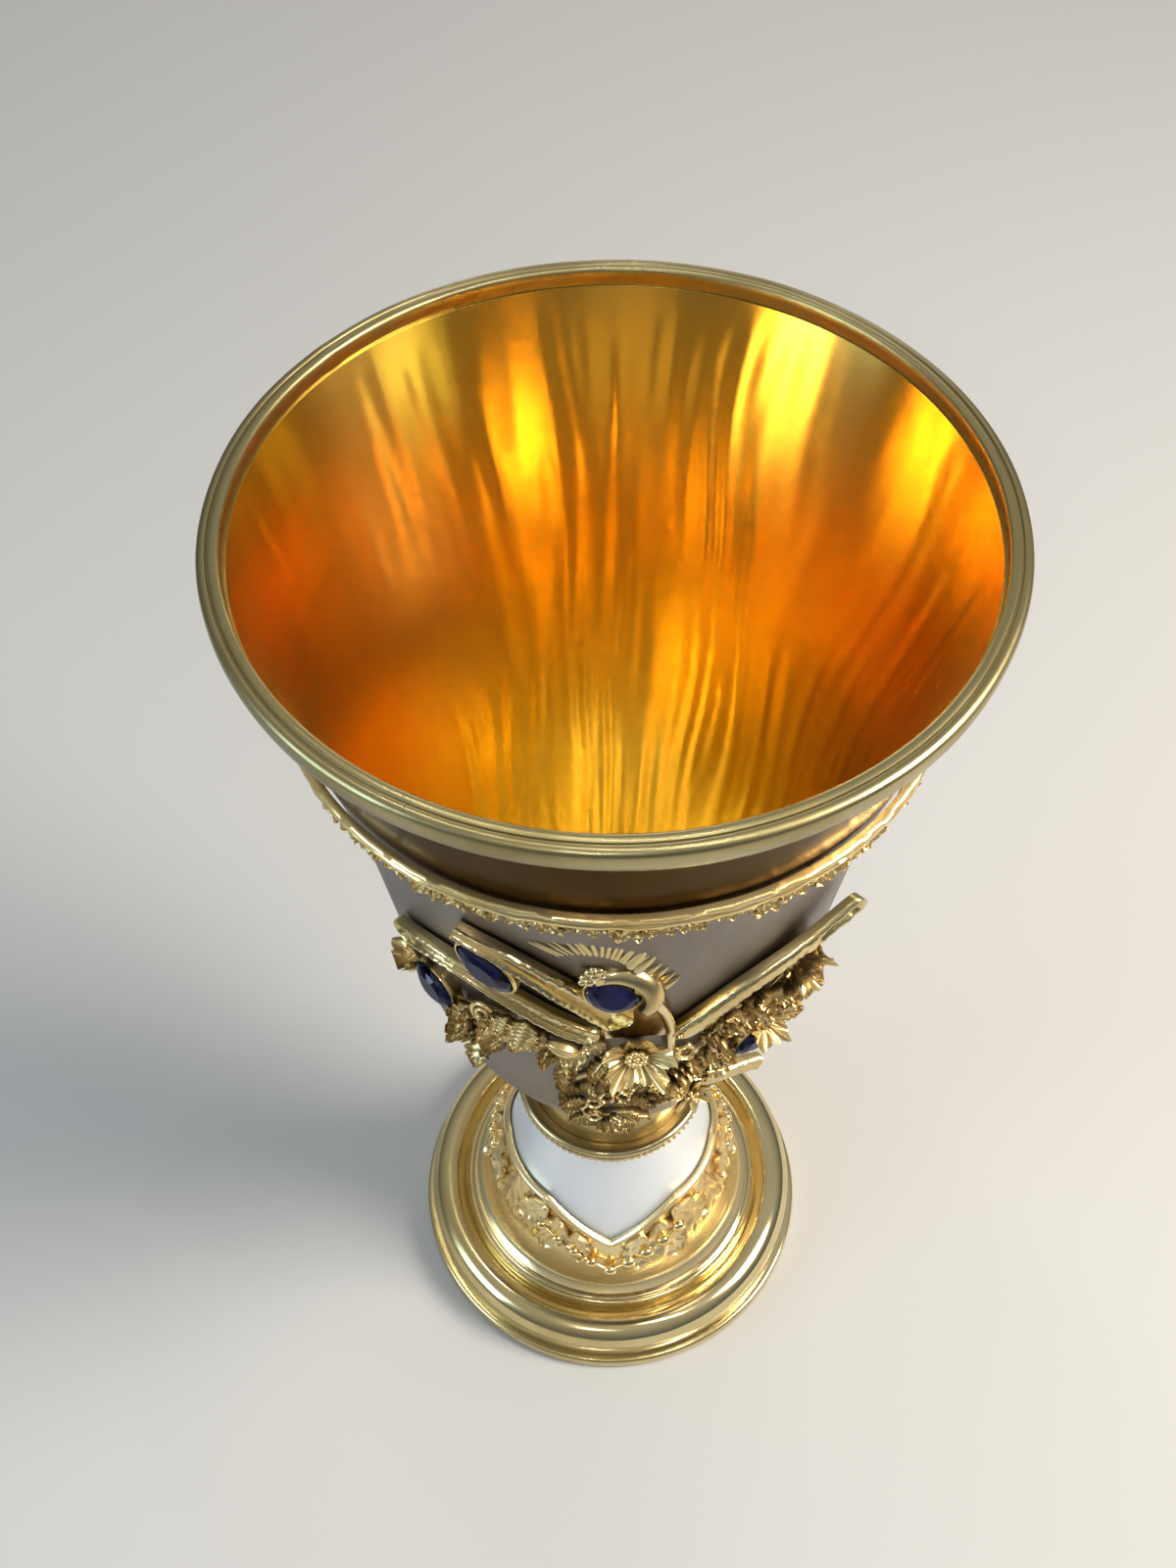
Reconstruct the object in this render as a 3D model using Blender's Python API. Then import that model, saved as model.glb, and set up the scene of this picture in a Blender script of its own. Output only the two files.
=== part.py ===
"""Ceremonial goblet in silver and gilt, standing on its foot with the cup's axis on Z."""

import math

import bmesh
import bpy
from mathutils import Vector

# Driving dimensions, in metres and degrees
GAP = 0.0003  # solder gap between pieces that are fixed to each other
SIDES = 36  # facets round the turned pieces

FLANGE_RADIUS = 0.0310
FLANGE_HEIGHT = 0.0024
GROOVE_RADIUS = 0.0284
TORUS_RADIUS = 0.0031  # half the thickness of the big moulding
FOOT_WALL = 0.0014
SHELF_RADIUS = 0.0222
SHELF_HEIGHT = 0.0086
SHELF_WIDTH = 0.0034

DOME_RADIUS = 0.0203
DOME_TOP_RADIUS = 0.0125
DOME_HEIGHT = 0.0311
DOME_WALL = 0.0012
SKIRT_WALL = 0.0009
SKIRT_HEIGHT = 0.0168
NOTCH_DEPTH = 0.0062
NOTCH_COUNT = 3
NOTCH_WIDTH = 76.0
BEAD_RADIUS = 0.0009
BEAD_PAIRS = 5
BEAD_DROP = 0.0050  # how far the beads run below the notch

STEM_HEIGHT = 0.0154
STEM_FOOT_RADIUS = 0.0128
STEM_WAIST_RADIUS = 0.0104
STEM_RING_BAND = 0.0011
STEM_RING_HEIGHT = 0.0034

BOWL_HEIGHT = 0.1005
BOWL_BASE_RADIUS = 0.0088
BOWL_WAIST_RADIUS = 0.0296
BOWL_MOUTH_RADIUS = 0.0387
BOWL_WALL = 0.0014
BOWL_FLOOR = 0.0030
BOWL_TAPER = 0.125  # widening of the straight part of the wall for each unit of height
WAIST_SHARE = 0.637  # where the straight wall starts to flare, as a share of the bowl's height
ROUND_SHARE = 0.338  # how far up the rounded bottom reaches

LIP_OVERHANG = 0.0010
LIP_HEIGHT = 0.0019
LIP_DROP = 0.0014  # how far the lip ring reaches down outside the wall
COLLAR_SHARE = 0.832
COLLAR_THICKNESS = 0.0014
COLLAR_WIRE = 0.0022
LEAF_TIP = 0.0024
TIP_COUNT = 36

STRAP_THICKNESS = 0.0015
STRAP_WIDTH = 0.0036
STRAP_LIFT = 0.0022
LOWER_STRAP_WIDTH = 0.0029
LOWER_STRAP_LIFT = 0.0012
ARCH_WIDTH = 0.0020
FAN_THICKNESS = 0.0005
FAN_INNER = 0.0072
FAN_REACH = 0.0048
FAN_START = 18.0
FAN_SWEEP = 100.0
PLATE_THICKNESS = 0.0007
STONE_HEIGHT = 0.0016
BEZEL_WALL = 0.0005
BEZEL_FLOOR = 0.0004
BASKET_WIDTH = 0.0050
BASKET_HEIGHT = 0.0088
BASKET_BULGE = 0.0022

# Heights, from the floor up
DOME_Z = SHELF_HEIGHT + GAP
STEM_Z = DOME_Z + DOME_HEIGHT + GAP
BOWL_Z = STEM_Z + STEM_HEIGHT + GAP
LIP_Z = BOWL_Z + BOWL_HEIGHT + GAP

LAYER = GAP + STRAP_THICKNESS + GAP  # where a piece that lies over the straps starts

SIDE_TURNS = {"front": 0.0, "back": 180.0}


def finish(name, color, metallic, roughness):
    material = bpy.data.materials.new(name)
    material.use_nodes = True
    shader = material.node_tree.nodes["Principled BSDF"]
    shader.inputs["Base Color"].default_value = (*color, 1.0)
    shader.inputs["Metallic"].default_value = metallic
    shader.inputs["Roughness"].default_value = roughness
    material.diffuse_color = (*color, 1.0)
    return material


def add_object(name, bm, material):
    bmesh.ops.recalc_face_normals(bm, faces=bm.faces)
    mesh = bpy.data.meshes.new(name)
    bm.to_mesh(mesh)
    bm.free()
    mesh.shade_smooth()
    mesh.set_sharp_from_angle(angle=math.radians(35))
    mesh.materials.append(material)
    thing = bpy.data.objects.new(name, mesh)
    bpy.context.scene.collection.objects.link(thing)
    return thing


def lathe(name, outline, material):
    """Turns a closed outline of (radius, height) points about the cup's axis."""
    bm = bmesh.new()
    points = [bm.verts.new((radius, 0.0, height)) for radius, height in outline]
    edges = [bm.edges.new(pair) for pair in zip(points, points[1:])]
    if outline[0][0] > 0.0:
        edges.append(bm.edges.new((points[-1], points[0])))
    bmesh.ops.spin(bm, geom=points + edges, axis=(0, 0, 1), cent=(0, 0, 0),
                   steps=SIDES, angle=math.tau, use_merge=True)
    bmesh.ops.remove_doubles(bm, verts=bm.verts, dist=1e-6)
    return add_object(name, bm, material)


def loft(name, sections, material, ring=False):
    """Joins like cross-sections in a row, capped at the ends or closed to a ring."""
    bm = bmesh.new()
    rows = [[bm.verts.new(point) for point in section] for section in sections]
    count = len(rows[0])
    for first, second in zip(rows, rows[1:] + rows[:1] if ring else rows[1:]):
        for i in range(count):
            j = (i + 1) % count
            bm.faces.new((first[i], first[j], second[j], second[i]))
    if not ring:
        bm.faces.new(rows[0])
        bm.faces.new(rows[-1])
    return add_object(name, bm, material)


def wall_radius(height):
    """The bowl's outer radius at a height above its own bottom."""
    waist = WAIST_SHARE * BOWL_HEIGHT
    straight = BOWL_WAIST_RADIUS + BOWL_TAPER * (height - waist)
    turn_in = straight - BOWL_TAPER * height - BOWL_BASE_RADIUS
    up = min(max(height / (ROUND_SHARE * BOWL_HEIGHT), 0.0), 1.0)
    flare = BOWL_MOUTH_RADIUS - BOWL_WAIST_RADIUS - BOWL_TAPER * (BOWL_HEIGHT - waist)
    out = max(height - waist, 0.0) / (BOWL_HEIGHT - waist)
    return straight - turn_in * (1.0 - math.sqrt(1.0 - (1.0 - up) ** 2)) + flare * out ** 1.6


def bowl_point(spot, right, up, out):
    """A point near a spot (azimuth in degrees, share of the bowl's height), out from its wall."""
    height = spot[1] * BOWL_HEIGHT + up
    radius = wall_radius(height)
    angle = math.radians(spot[0]) + right / radius
    radius += out
    return Vector((radius * math.sin(angle), -radius * math.cos(angle), BOWL_Z + height))


def turned(spot, side):
    return (spot[0] + SIDE_TURNS[side], spot[1])


def dome_radius(height):
    """The silver bell's outer radius at a height above its own edge."""
    up = height / DOME_HEIGHT
    return DOME_TOP_RADIUS + (DOME_RADIUS - DOME_TOP_RADIUS) * (1.0 - up) ** 1.25


def make_bowl(material):
    rings = 6
    shares = [(i / rings) ** 1.5 * ROUND_SHARE for i in range(rings)]
    shares += [ROUND_SHARE + (1.0 - ROUND_SHARE) * i / rings for i in (0, 2, 3, 4, 5, 6)]
    heights = [share * BOWL_HEIGHT for share in shares]
    outer = [(wall_radius(height), BOWL_Z + height) for height in heights]
    inner = [(radius - BOWL_WALL, z) for radius, z in outer if z > BOWL_Z + BOWL_FLOOR + BOWL_WALL]
    floor = BOWL_Z + BOWL_FLOOR
    rim_to_floor = inner[::-1] + [(inner[0][0] * 0.6, floor + BOWL_WALL * 0.3), (0.0, floor)]
    lathe("bowl", [(0.0, BOWL_Z), *outer, *rim_to_floor], material)


def make_rim_ring(material):
    """The moulded lip: a flat inner land, a groove and a rounded outer ridge."""
    outer = BOWL_MOUTH_RADIUS + GAP + LIP_OVERHANG
    inner = BOWL_MOUTH_RADIUS - BOWL_WALL
    clear = BOWL_MOUTH_RADIUS + GAP
    groove = inner + 0.45 * (outer - inner)
    top = LIP_Z + LIP_HEIGHT
    outline = [(inner, LIP_Z), (clear, LIP_Z), (clear, LIP_Z - LIP_DROP), (outer - 0.0004, LIP_Z - LIP_DROP),
               (outer, LIP_Z), (outer, top - 0.0007), (outer - 0.0006, top), (groove + 0.0003, top - 0.0002),
               (groove, top - 0.0005), (groove - 0.0003, top - 0.0002), (inner + 0.0003, top - 0.0002),
               (inner, top - 0.0006)]
    lathe("rim_ring", outline, material)


def make_leaf_collar(material):
    """A gilt wire round the bowl, with leaf tips of uneven length hanging from it."""
    sections = []
    steps = 2 * TIP_COUNT
    for i in range(steps):
        azimuth = 360.0 * i / steps
        tip = LEAF_TIP * (0.35 + 0.65 * (i % 2)) * (0.8 + 0.2 * math.sin(azimuth * 0.11))
        spot = (azimuth, COLLAR_SHARE)
        sections.append([
            bowl_point(spot, 0.0, COLLAR_WIRE / 2, GAP),
            bowl_point(spot, 0.0, 0.0, GAP + COLLAR_THICKNESS),
            bowl_point(spot, 0.0, -COLLAR_WIRE / 2, GAP + COLLAR_THICKNESS * 0.6),
            bowl_point(spot, 0.0, -COLLAR_WIRE / 2 - tip, GAP + COLLAR_THICKNESS * 0.5),
            bowl_point(spot, 0.0, -COLLAR_WIRE / 2 - tip, GAP),
        ])
    loft("leaf_collar", sections, material, ring=True)


def stem_radius(height):
    """The neck's hollow curve: widest on the foot, narrowest under the bowl."""
    up = height / STEM_HEIGHT
    return STEM_WAIST_RADIUS + (STEM_FOOT_RADIUS - STEM_WAIST_RADIUS) * (1.0 - up) ** 2


def make_stem(material):
    rings = 4
    outer = [(stem_radius(STEM_HEIGHT * i / rings), STEM_Z + STEM_HEIGHT * i / rings) for i in range(rings + 1)]
    lathe("stem", [(0.0, STEM_Z), *outer, (0.0, STEM_Z + STEM_HEIGHT)], material)


def make_stem_ring(material):
    """A band of slanting beads round the neck's foot."""
    sections = []
    steps = 36
    for i in range(steps):
        angle = math.tau * i / steps
        swell = STEM_RING_BAND * (0.75 + 0.25 * (i % 2))
        levels = ((0.0, 0.0), (0.0, 0.8 * swell), (0.3, swell), (0.7, swell), (1.0, 0.6 * swell), (1.0, 0.0))
        section = []
        for share, out in levels:
            height = share * STEM_RING_HEIGHT
            radius = stem_radius(0.0) + GAP + out
            section.append((radius * math.sin(angle), -radius * math.cos(angle), STEM_Z + height))
        sections.append(section)
    loft("stem_ring", sections, material, ring=True)


def make_foot_base(material):
    """The stepped gilt foot: flange, groove, big torus, cavetto and the shelf that the bell stands on."""
    centre_radius = GROOVE_RADIUS - 0.55 * TORUS_RADIUS
    centre_height = SHELF_HEIGHT - 0.9 * TORUS_RADIUS
    torus = []
    for degrees in range(-30, 131, 32):
        angle = math.radians(degrees)
        torus.append((centre_radius + TORUS_RADIUS * math.cos(angle),
                      centre_height + TORUS_RADIUS * math.sin(angle)))
    shelf_inner = SHELF_RADIUS - SHELF_WIDTH
    outline = [(FLANGE_RADIUS, 0.0), (FLANGE_RADIUS, FLANGE_HEIGHT), (GROOVE_RADIUS, FLANGE_HEIGHT + 0.0004),
               *torus, (SHELF_RADIUS + 0.0007, SHELF_HEIGHT - 0.0011), (SHELF_RADIUS, SHELF_HEIGHT),
               (shelf_inner, SHELF_HEIGHT), (shelf_inner, SHELF_HEIGHT - FOOT_WALL),
               (SHELF_RADIUS, SHELF_HEIGHT - 2.0 * FOOT_WALL), (centre_radius, SHELF_HEIGHT - 1.4 * FOOT_WALL),
               (GROOVE_RADIUS - FOOT_WALL, FLANGE_HEIGHT), (FLANGE_RADIUS - 2.0 * FOOT_WALL, 0.0)]
    lathe("foot_base", outline, material)


def make_foot_dome(material):
    rings = 4
    levels = [DOME_HEIGHT * i / rings for i in range(rings + 1)]
    outer = [(dome_radius(height), DOME_Z + height) for height in levels]
    inner = [(radius - DOME_WALL, z) for radius, z in outer]
    lathe("foot_dome", outer + inner[::-1], material)


def skirt_edge(azimuth):
    """Height of the skirt's upper edge: a pointed notch before each open panel of the bell."""
    pitch = 360.0 / NOTCH_COUNT
    off = abs((azimuth + pitch / 2) % pitch - pitch / 2) / (NOTCH_WIDTH / 2)
    return SKIRT_HEIGHT - NOTCH_DEPTH * max(1.0 - off, 0.0) ** 1.2


def leaf_boss(azimuth, share):
    """Swell of the upright leaves chased on the skirt, two beside each notch and one between."""
    pitch = 360.0 / NOTCH_COUNT
    local = (azimuth + pitch / 2) % pitch - pitch / 2
    swell = 0.0
    for centre in (-60.0, -42.0, 42.0, 60.0):
        width = 13.0 * (1.0 - 0.6 * share)
        swell = max(swell, 1.0 - abs(local - centre) / width)
    return swell * math.sin(math.pi * min(share * 1.2, 1.0))


def make_leaf_skirt(material):
    """The gilt mantle over the bell, with upright leaves in relief below its notched edge."""
    sections = []
    steps = 72
    for i in range(steps):
        azimuth = 360.0 * i / steps
        angle = math.radians(azimuth)
        top = skirt_edge(azimuth)
        levels = [(share, SKIRT_WALL * (1.0 + 0.8 * leaf_boss(azimuth, share)))
                  for share in (0.0, 0.3, 0.6, 1.0)]
        levels += [(share, 0.0) for share in (1.0, 0.5, 0.0)]
        section = []
        for share, out in levels:
            radius = dome_radius(share * top) + GAP + out
            section.append((radius * math.sin(angle), -radius * math.cos(angle), DOME_Z + share * top))
        sections.append(section)
    loft("leaf_skirt", sections, material, ring=True)


def make_bead_wire(name, azimuth, material):
    """A beaded wire that follows one notch of the skirt, a little below its edge."""
    sections = []
    steps = 4 * BEAD_PAIRS
    reach = 0.36 * NOTCH_WIDTH
    for i in range(-steps // 2, steps // 2 + 1):
        local = reach * i / (steps / 2)
        angle = math.radians(azimuth + local)
        height = skirt_edge(local) - BEAD_DROP
        size = BEAD_RADIUS * (1.0 if i % 2 == 0 else 0.55)
        centre = dome_radius(height) + GAP + SKIRT_WALL + GAP + BEAD_RADIUS
        section = []
        for k in range(5):
            turn = math.tau * k / 5
            radius = centre + size * math.cos(turn)
            section.append((radius * math.sin(angle), -radius * math.cos(angle),
                            DOME_Z + height + size * math.sin(turn)))
        sections.append(section)
    loft(name, sections, material)


def along(stops, share):
    """A point on the smooth curve through a strap's stops, at a share of its run."""
    place = share * (len(stops) - 1)
    i = min(int(place), len(stops) - 2)
    t = place - i
    before, start, end, after = (stops[max(min(k, len(stops) - 1), 0)] for k in (i - 1, i, i + 1, i + 2))
    return [0.5 * (2 * b + (c - a) * t + (2 * a - 5 * b + 4 * c - d) * t * t + (3 * b - a - 3 * c + d) * t ** 3)
            for a, b, c, d in zip(before, start, end, after)]


def make_strap(name, side, stops, width, lift, pieces, material):
    """A channelled ribbon soldered along its stops (azimuth, share of the bowl's height)."""
    sections = []
    profile = ((-0.5, 0.0), (-0.5, 1.0), (-0.2, 0.5), (0.2, 0.5), (0.5, 1.0), (0.5, 0.0))
    for i in range(pieces + 1):
        share = i / pieces
        here = along(stops, share)
        low, high = along(stops, max(share - 0.02, 0.0)), along(stops, min(share + 0.02, 1.0))
        run = math.radians(high[0] - low[0]) * wall_radius(here[1] * BOWL_HEIGHT)
        rise = (high[1] - low[1]) * BOWL_HEIGHT
        length = math.hypot(run, rise)
        away = GAP + lift * share ** 3
        section = []
        for across, out in profile:
            offset = across * width
            section.append(bowl_point(turned(here, side), -offset * rise / length, offset * run / length,
                                      away + out * STRAP_THICKNESS))
        sections.append(section)
    loft(name, sections, material)


def make_relief(name, side, spot, outline, relief, material, sectors, base=GAP, tilt=0.0):
    """A cast plate: outline(angle) is its reach in metres, relief(share, angle) its swell."""
    bm = bmesh.new()
    spin = math.radians(tilt)

    def point(share, angle, out):
        reach = share * outline(angle)
        return bm.verts.new(bowl_point(turned(spot, side), reach * math.cos(angle + spin),
                                       reach * math.sin(angle + spin), base + out))

    angles = [math.tau * i / sectors for i in range(sectors)]
    crown = point(0.0, 0.0, relief(0.0, 0.0))
    heart = point(0.0, 0.0, 0.0)
    rings = [[point(share, angle, relief(share, angle)) for angle in angles] for share in (0.4, 1.0)]
    under = [point(1.0, angle, 0.0) for angle in angles]
    for i in range(sectors):
        j = (i + 1) % sectors
        bm.faces.new((crown, rings[0][i], rings[0][j]))
        bm.faces.new((rings[0][i], rings[1][i], rings[1][j], rings[0][j]))
        bm.faces.new((rings[1][i], under[i], under[j], rings[1][j]))
        bm.faces.new((heart, under[j], under[i]))
    add_object(name, bm, material)


def make_rosette(name, side, spot, radius, base, material):
    petals = 6

    def outline(angle):
        return radius * (0.93 + 0.07 * math.cos(petals * angle))

    def relief(share, angle):
        if share == 0.0:
            return 2.6 * PLATE_THICKNESS
        if share < 1.0:
            return 1.3 * PLATE_THICKNESS
        return PLATE_THICKNESS * (1.7 + 0.5 * math.cos(petals * angle))

    make_relief(name, side, spot, outline, relief, material, 2 * petals, base)


def make_leaf(name, side, spot, radius, tilt, material):
    """A six-lobed leaf with raised veins."""
    lobes = 6

    def outline(angle):
        return radius * (0.84 + 0.16 * math.cos(lobes * angle)) * (0.92 + 0.08 * math.cos(angle))

    def relief(share, angle):
        if share == 0.0:
            return 1.4 * PLATE_THICKNESS
        return PLATE_THICKNESS * (1.5 + 0.6 * math.cos(lobes * angle))

    make_relief(name, side, spot, outline, relief, material, 2 * lobes, tilt=tilt)


def oval(length, width, angle):
    """Reach of a pointed oval at an angle from its long axis."""
    power = 1.6
    across = (abs(math.cos(angle)) / length) ** power + (abs(math.sin(angle)) / width) ** power
    return 0.5 / across ** (1.0 / power)


def make_stone(name, side, spot, length, width, tilt, base, material):
    """A cut stone: girdle, crown facets and a flat table."""
    bm = bmesh.new()
    spin = math.radians(tilt)
    sectors = 8
    levels = ((0.72, 0.0), (1.0, 0.5), (0.6, 1.0))
    rings = []
    for share, up in levels:
        ring = []
        for i in range(sectors):
            angle = math.tau * i / sectors
            reach = share * oval(length, width, angle)
            ring.append(bm.verts.new(bowl_point(turned(spot, side), reach * math.cos(angle + spin),
                                                reach * math.sin(angle + spin), base + up * STONE_HEIGHT)))
        rings.append(ring)
    for lower, upper in zip(rings, rings[1:]):
        for i in range(sectors):
            j = (i + 1) % sectors
            bm.faces.new((lower[i], lower[j], upper[j], upper[i]))
    bm.faces.new(rings[0])
    bm.faces.new(rings[-1])
    add_object(name, bm, material)


def make_bezel(name, side, spot, length, width, tilt, material):
    """A gilt box with a floor and a wall, which holds one stone."""
    bm = bmesh.new()
    spin = math.radians(tilt)
    sectors = 8
    levels = ((BEZEL_WALL + GAP, 0.0), (BEZEL_WALL + GAP, BEZEL_FLOOR + GAP + 0.5 * STONE_HEIGHT),
              (GAP, BEZEL_FLOOR + GAP + 0.5 * STONE_HEIGHT), (GAP, BEZEL_FLOOR))
    rings = []
    for margin, out in levels:
        ring = []
        for i in range(sectors):
            angle = math.tau * i / sectors
            reach = oval(length, width, angle) + margin
            ring.append(bm.verts.new(bowl_point(turned(spot, side), reach * math.cos(angle + spin),
                                                reach * math.sin(angle + spin), GAP + out)))
        rings.append(ring)
    for lower, upper in zip(rings, rings[1:]):
        for i in range(sectors):
            j = (i + 1) % sectors
            bm.faces.new((lower[i], lower[j], upper[j], upper[i]))
    bm.faces.new(rings[0])
    bm.faces.new(rings[-1])
    add_object(name, bm, material)


def make_fan(name, side, material):
    """Feather barbs that spread from the outer side of the stone's arch."""
    bm = bmesh.new()
    steps = 14
    tops, bottoms = [], []
    for i in range(steps + 1):
        angle = math.radians(FAN_START + FAN_SWEEP * i / steps)
        reach = FAN_REACH * (1.0 if i % 2 else 0.45)
        for ring, out in ((tops, FAN_THICKNESS), (bottoms, 0.0)):
            ring.append([bm.verts.new(bowl_point(turned(MIDDLE_STONE, side), r * math.cos(angle),
                                                 r * math.sin(angle), GAP + out))
                         for r in (FAN_INNER, FAN_INNER + reach)])
    for ring in (tops, bottoms):
        for first, second in zip(ring, ring[1:]):
            bm.faces.new((first[0], first[1], second[1], second[0]))
    for k in (0, 1):
        for i in range(steps):
            bm.faces.new((tops[i][k], tops[i + 1][k], bottoms[i + 1][k], bottoms[i][k]))
    for i in (0, steps):
        bm.faces.new((tops[i][0], tops[i][1], bottoms[i][1], bottoms[i][0]))
    add_object(name, bm, material)


def make_basket(name, side, spot, material):
    """A pierced oval boss of foliage: hub, ribs with open windows between them, and a rim."""
    bm = bmesh.new()
    sectors = 12
    shares = (0.38, 0.74, 1.0)

    def point(share, i, out):
        angle = math.tau * (i % sectors) / sectors
        swell = BASKET_BULGE * (1.0 - 0.7 * share * share)
        return bm.verts.new(bowl_point(turned(spot, side), share * BASKET_WIDTH * math.cos(angle),
                                       share * BASKET_HEIGHT * math.sin(angle), GAP + out * swell))

    layers = []
    for out in (1.0, 0.0):
        hub = point(0.0, 0, out)
        layers.append((hub, [[point(share, i, out) for i in range(sectors)] for share in shares]))
    for hub, rings in layers:
        for i in range(sectors):
            j = (i + 1) % sectors
            bm.faces.new((hub, rings[0][i], rings[0][j]))
            bm.faces.new((rings[1][i], rings[2][i], rings[2][j], rings[1][j]))
            if i % 2 == 0:
                bm.faces.new((rings[0][i], rings[1][i], rings[1][j], rings[0][j]))
    (_, top), (_, bottom) = layers
    for i in range(sectors):
        j = (i + 1) % sectors
        bm.faces.new((top[2][i], top[2][j], bottom[2][j], bottom[2][i]))
        if i % 2:
            for k in (0, 1):
                bm.faces.new((top[k][i], top[k][j], bottom[k][j], bottom[k][i]))
            for edge in (i, j):
                bm.faces.new((top[0][edge], top[1][edge], bottom[1][edge], bottom[0][edge]))
    add_object(name, bm, material)


# The ornament of one side of the bowl: azimuth in degrees, share of the bowl's height
MIDDLE_STONE = (0.4, 0.636)
MIDDLE_STONE_SIZE = (0.0058, 0.0044)
STONES = {  # spot, length, width, tilt
    "stone_upper": ((-25.0, 0.640), 0.0072, 0.0037, -36.0),
    "stone_left": ((-43.5, 0.485), 0.0064, 0.0038, -30.0),
    "stone_right": ((37.2, 0.388), 0.0058, 0.0036, 12.0),
}
STRAPS = {  # stops, width, lift at the far end, stretches
    "rising_strap": (((14.5, 0.495), (28.0, 0.569), (41.5, 0.603), (55.5, 0.631)),
                     STRAP_WIDTH, STRAP_LIFT, 9),
    "falling_strap": (((-3.0, 0.510), (-11.5, 0.538), (-21.0, 0.575), (-31.5, 0.600), (-41.5, 0.596),
                       (-51.5, 0.568)), STRAP_WIDTH, 0.0, 9),
    "upper_strap": (((2.0, 0.552), (-6.3, 0.608), (-14.2, 0.655), (-22.0, 0.691), (-30.0, 0.707)),
                    STRAP_WIDTH, 0.0, 7),
    "lower_strap": (((19.5, 0.325), (30.0, 0.312), (41.0, 0.296)), LOWER_STRAP_WIDTH, LOWER_STRAP_LIFT, 4),
    "stone_arch": (((13.2, 0.532), (12.6, 0.562), (10.2, 0.612), (6.4, 0.664), (2.2, 0.692), (-2.2, 0.692),
                    (-5.8, 0.674)), ARCH_WIDTH, 0.0, 9),
}
ROSETTES = {  # spot, radius, height of its back above the wall
    "rosette_main": ((4.3, 0.478), 0.0044, LAYER),
    "rosette_low": ((18.3, 0.395), 0.0038, GAP),
    "rosette_right": ((48.5, 0.545), 0.0036, GAP),
}
BASKET = (0.5, 0.298)
LEAVES = {  # spot, radius, tilt
    "leaf_a": ((-28.3, 0.462), 0.0034, 200.0),
    "leaf_b": ((-14.6, 0.455), 0.0032, 160.0),
    "leaf_c": ((26.0, 0.475), 0.0040, 40.0),
    "leaf_d": ((40.3, 0.480), 0.0032, 60.0),
    "leaf_e": ((50.5, 0.432), 0.0034, 20.0),
    "leaf_f": ((-33.0, 0.392), 0.0034, 180.0),
}


def main():
    for thing in list(bpy.data.objects):
        bpy.data.objects.remove(thing)

    silver = finish("satin_silver", (0.62, 0.60, 0.58), 1.0, 0.42)
    white_silver = finish("white_silver", (0.86, 0.87, 0.90), 1.0, 0.5)
    gilt = finish("polished_gilt", (0.87, 0.68, 0.30), 1.0, 0.18)
    gilt_cast = finish("cast_gilt", (0.80, 0.62, 0.28), 1.0, 0.3)
    sapphire = finish("blue_stone", (0.02, 0.02, 0.25), 0.0, 0.05)

    make_foot_base(gilt)
    make_foot_dome(white_silver)
    make_leaf_skirt(gilt_cast)
    for i in range(NOTCH_COUNT):
        make_bead_wire(f"bead_wire_{i + 1}", 360.0 * i / NOTCH_COUNT, gilt)
    make_stem(gilt)
    make_stem_ring(gilt)
    make_bowl(silver)
    make_rim_ring(gilt)
    make_leaf_collar(gilt_cast)

    for side in SIDE_TURNS:
        for name, (stops, width, lift, pieces) in STRAPS.items():
            make_strap(f"{name}_{side}", side, stops, width, lift, pieces, gilt)
        make_fan(f"feather_fan_{side}", side, gilt_cast)
        for name, (spot, length, width, tilt) in STONES.items():
            make_bezel(f"bezel_{name[6:]}_{side}", side, spot, length, width, tilt, gilt)
            make_stone(f"{name}_{side}", side, spot, length, width, tilt, 2 * GAP + BEZEL_FLOOR, sapphire)
        make_stone(f"stone_middle_{side}", side, MIDDLE_STONE, *MIDDLE_STONE_SIZE, 0.0, GAP, sapphire)
        for name, (spot, radius, base) in ROSETTES.items():
            make_rosette(f"{name}_{side}", side, spot, radius, base, gilt_cast)
        for name, (spot, radius, tilt) in LEAVES.items():
            make_leaf(f"{name}_{side}", side, spot, radius, tilt, gilt_cast)
        make_basket(f"basket_{side}", side, BASKET, gilt_cast)


main()
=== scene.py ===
import random
from math import cos, degrees, dist, exp, hypot, pi, radians, sin, sqrt, tau

import bmesh
import bpy
from mathutils import Matrix, Vector, noise


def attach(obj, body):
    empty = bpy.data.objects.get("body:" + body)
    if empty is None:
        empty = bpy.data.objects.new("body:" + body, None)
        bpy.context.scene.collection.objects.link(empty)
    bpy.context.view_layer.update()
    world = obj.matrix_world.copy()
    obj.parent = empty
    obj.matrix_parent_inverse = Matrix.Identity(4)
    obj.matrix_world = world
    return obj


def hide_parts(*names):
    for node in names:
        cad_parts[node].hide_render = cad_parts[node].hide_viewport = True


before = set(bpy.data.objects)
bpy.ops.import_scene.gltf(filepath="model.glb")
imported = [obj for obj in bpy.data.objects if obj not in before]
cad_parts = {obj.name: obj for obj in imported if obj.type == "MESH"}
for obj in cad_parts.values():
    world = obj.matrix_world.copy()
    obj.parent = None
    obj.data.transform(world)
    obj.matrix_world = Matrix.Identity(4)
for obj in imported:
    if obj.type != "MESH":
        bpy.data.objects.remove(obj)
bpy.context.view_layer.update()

# Camera
# Close above the rim, looking steeply down through the mouth to the foot.
LENS = 38.49
CAMERA_PLACE = (0.0, -0.1171, 0.2714)
PITCH, YAW, ROLL = 0.9285, -0.0243, -0.0140


def put(name, data):
    """A new object with this data, in the scene."""
    thing = bpy.data.objects.new(name, data)
    bpy.context.scene.collection.objects.link(thing)
    return thing


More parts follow.
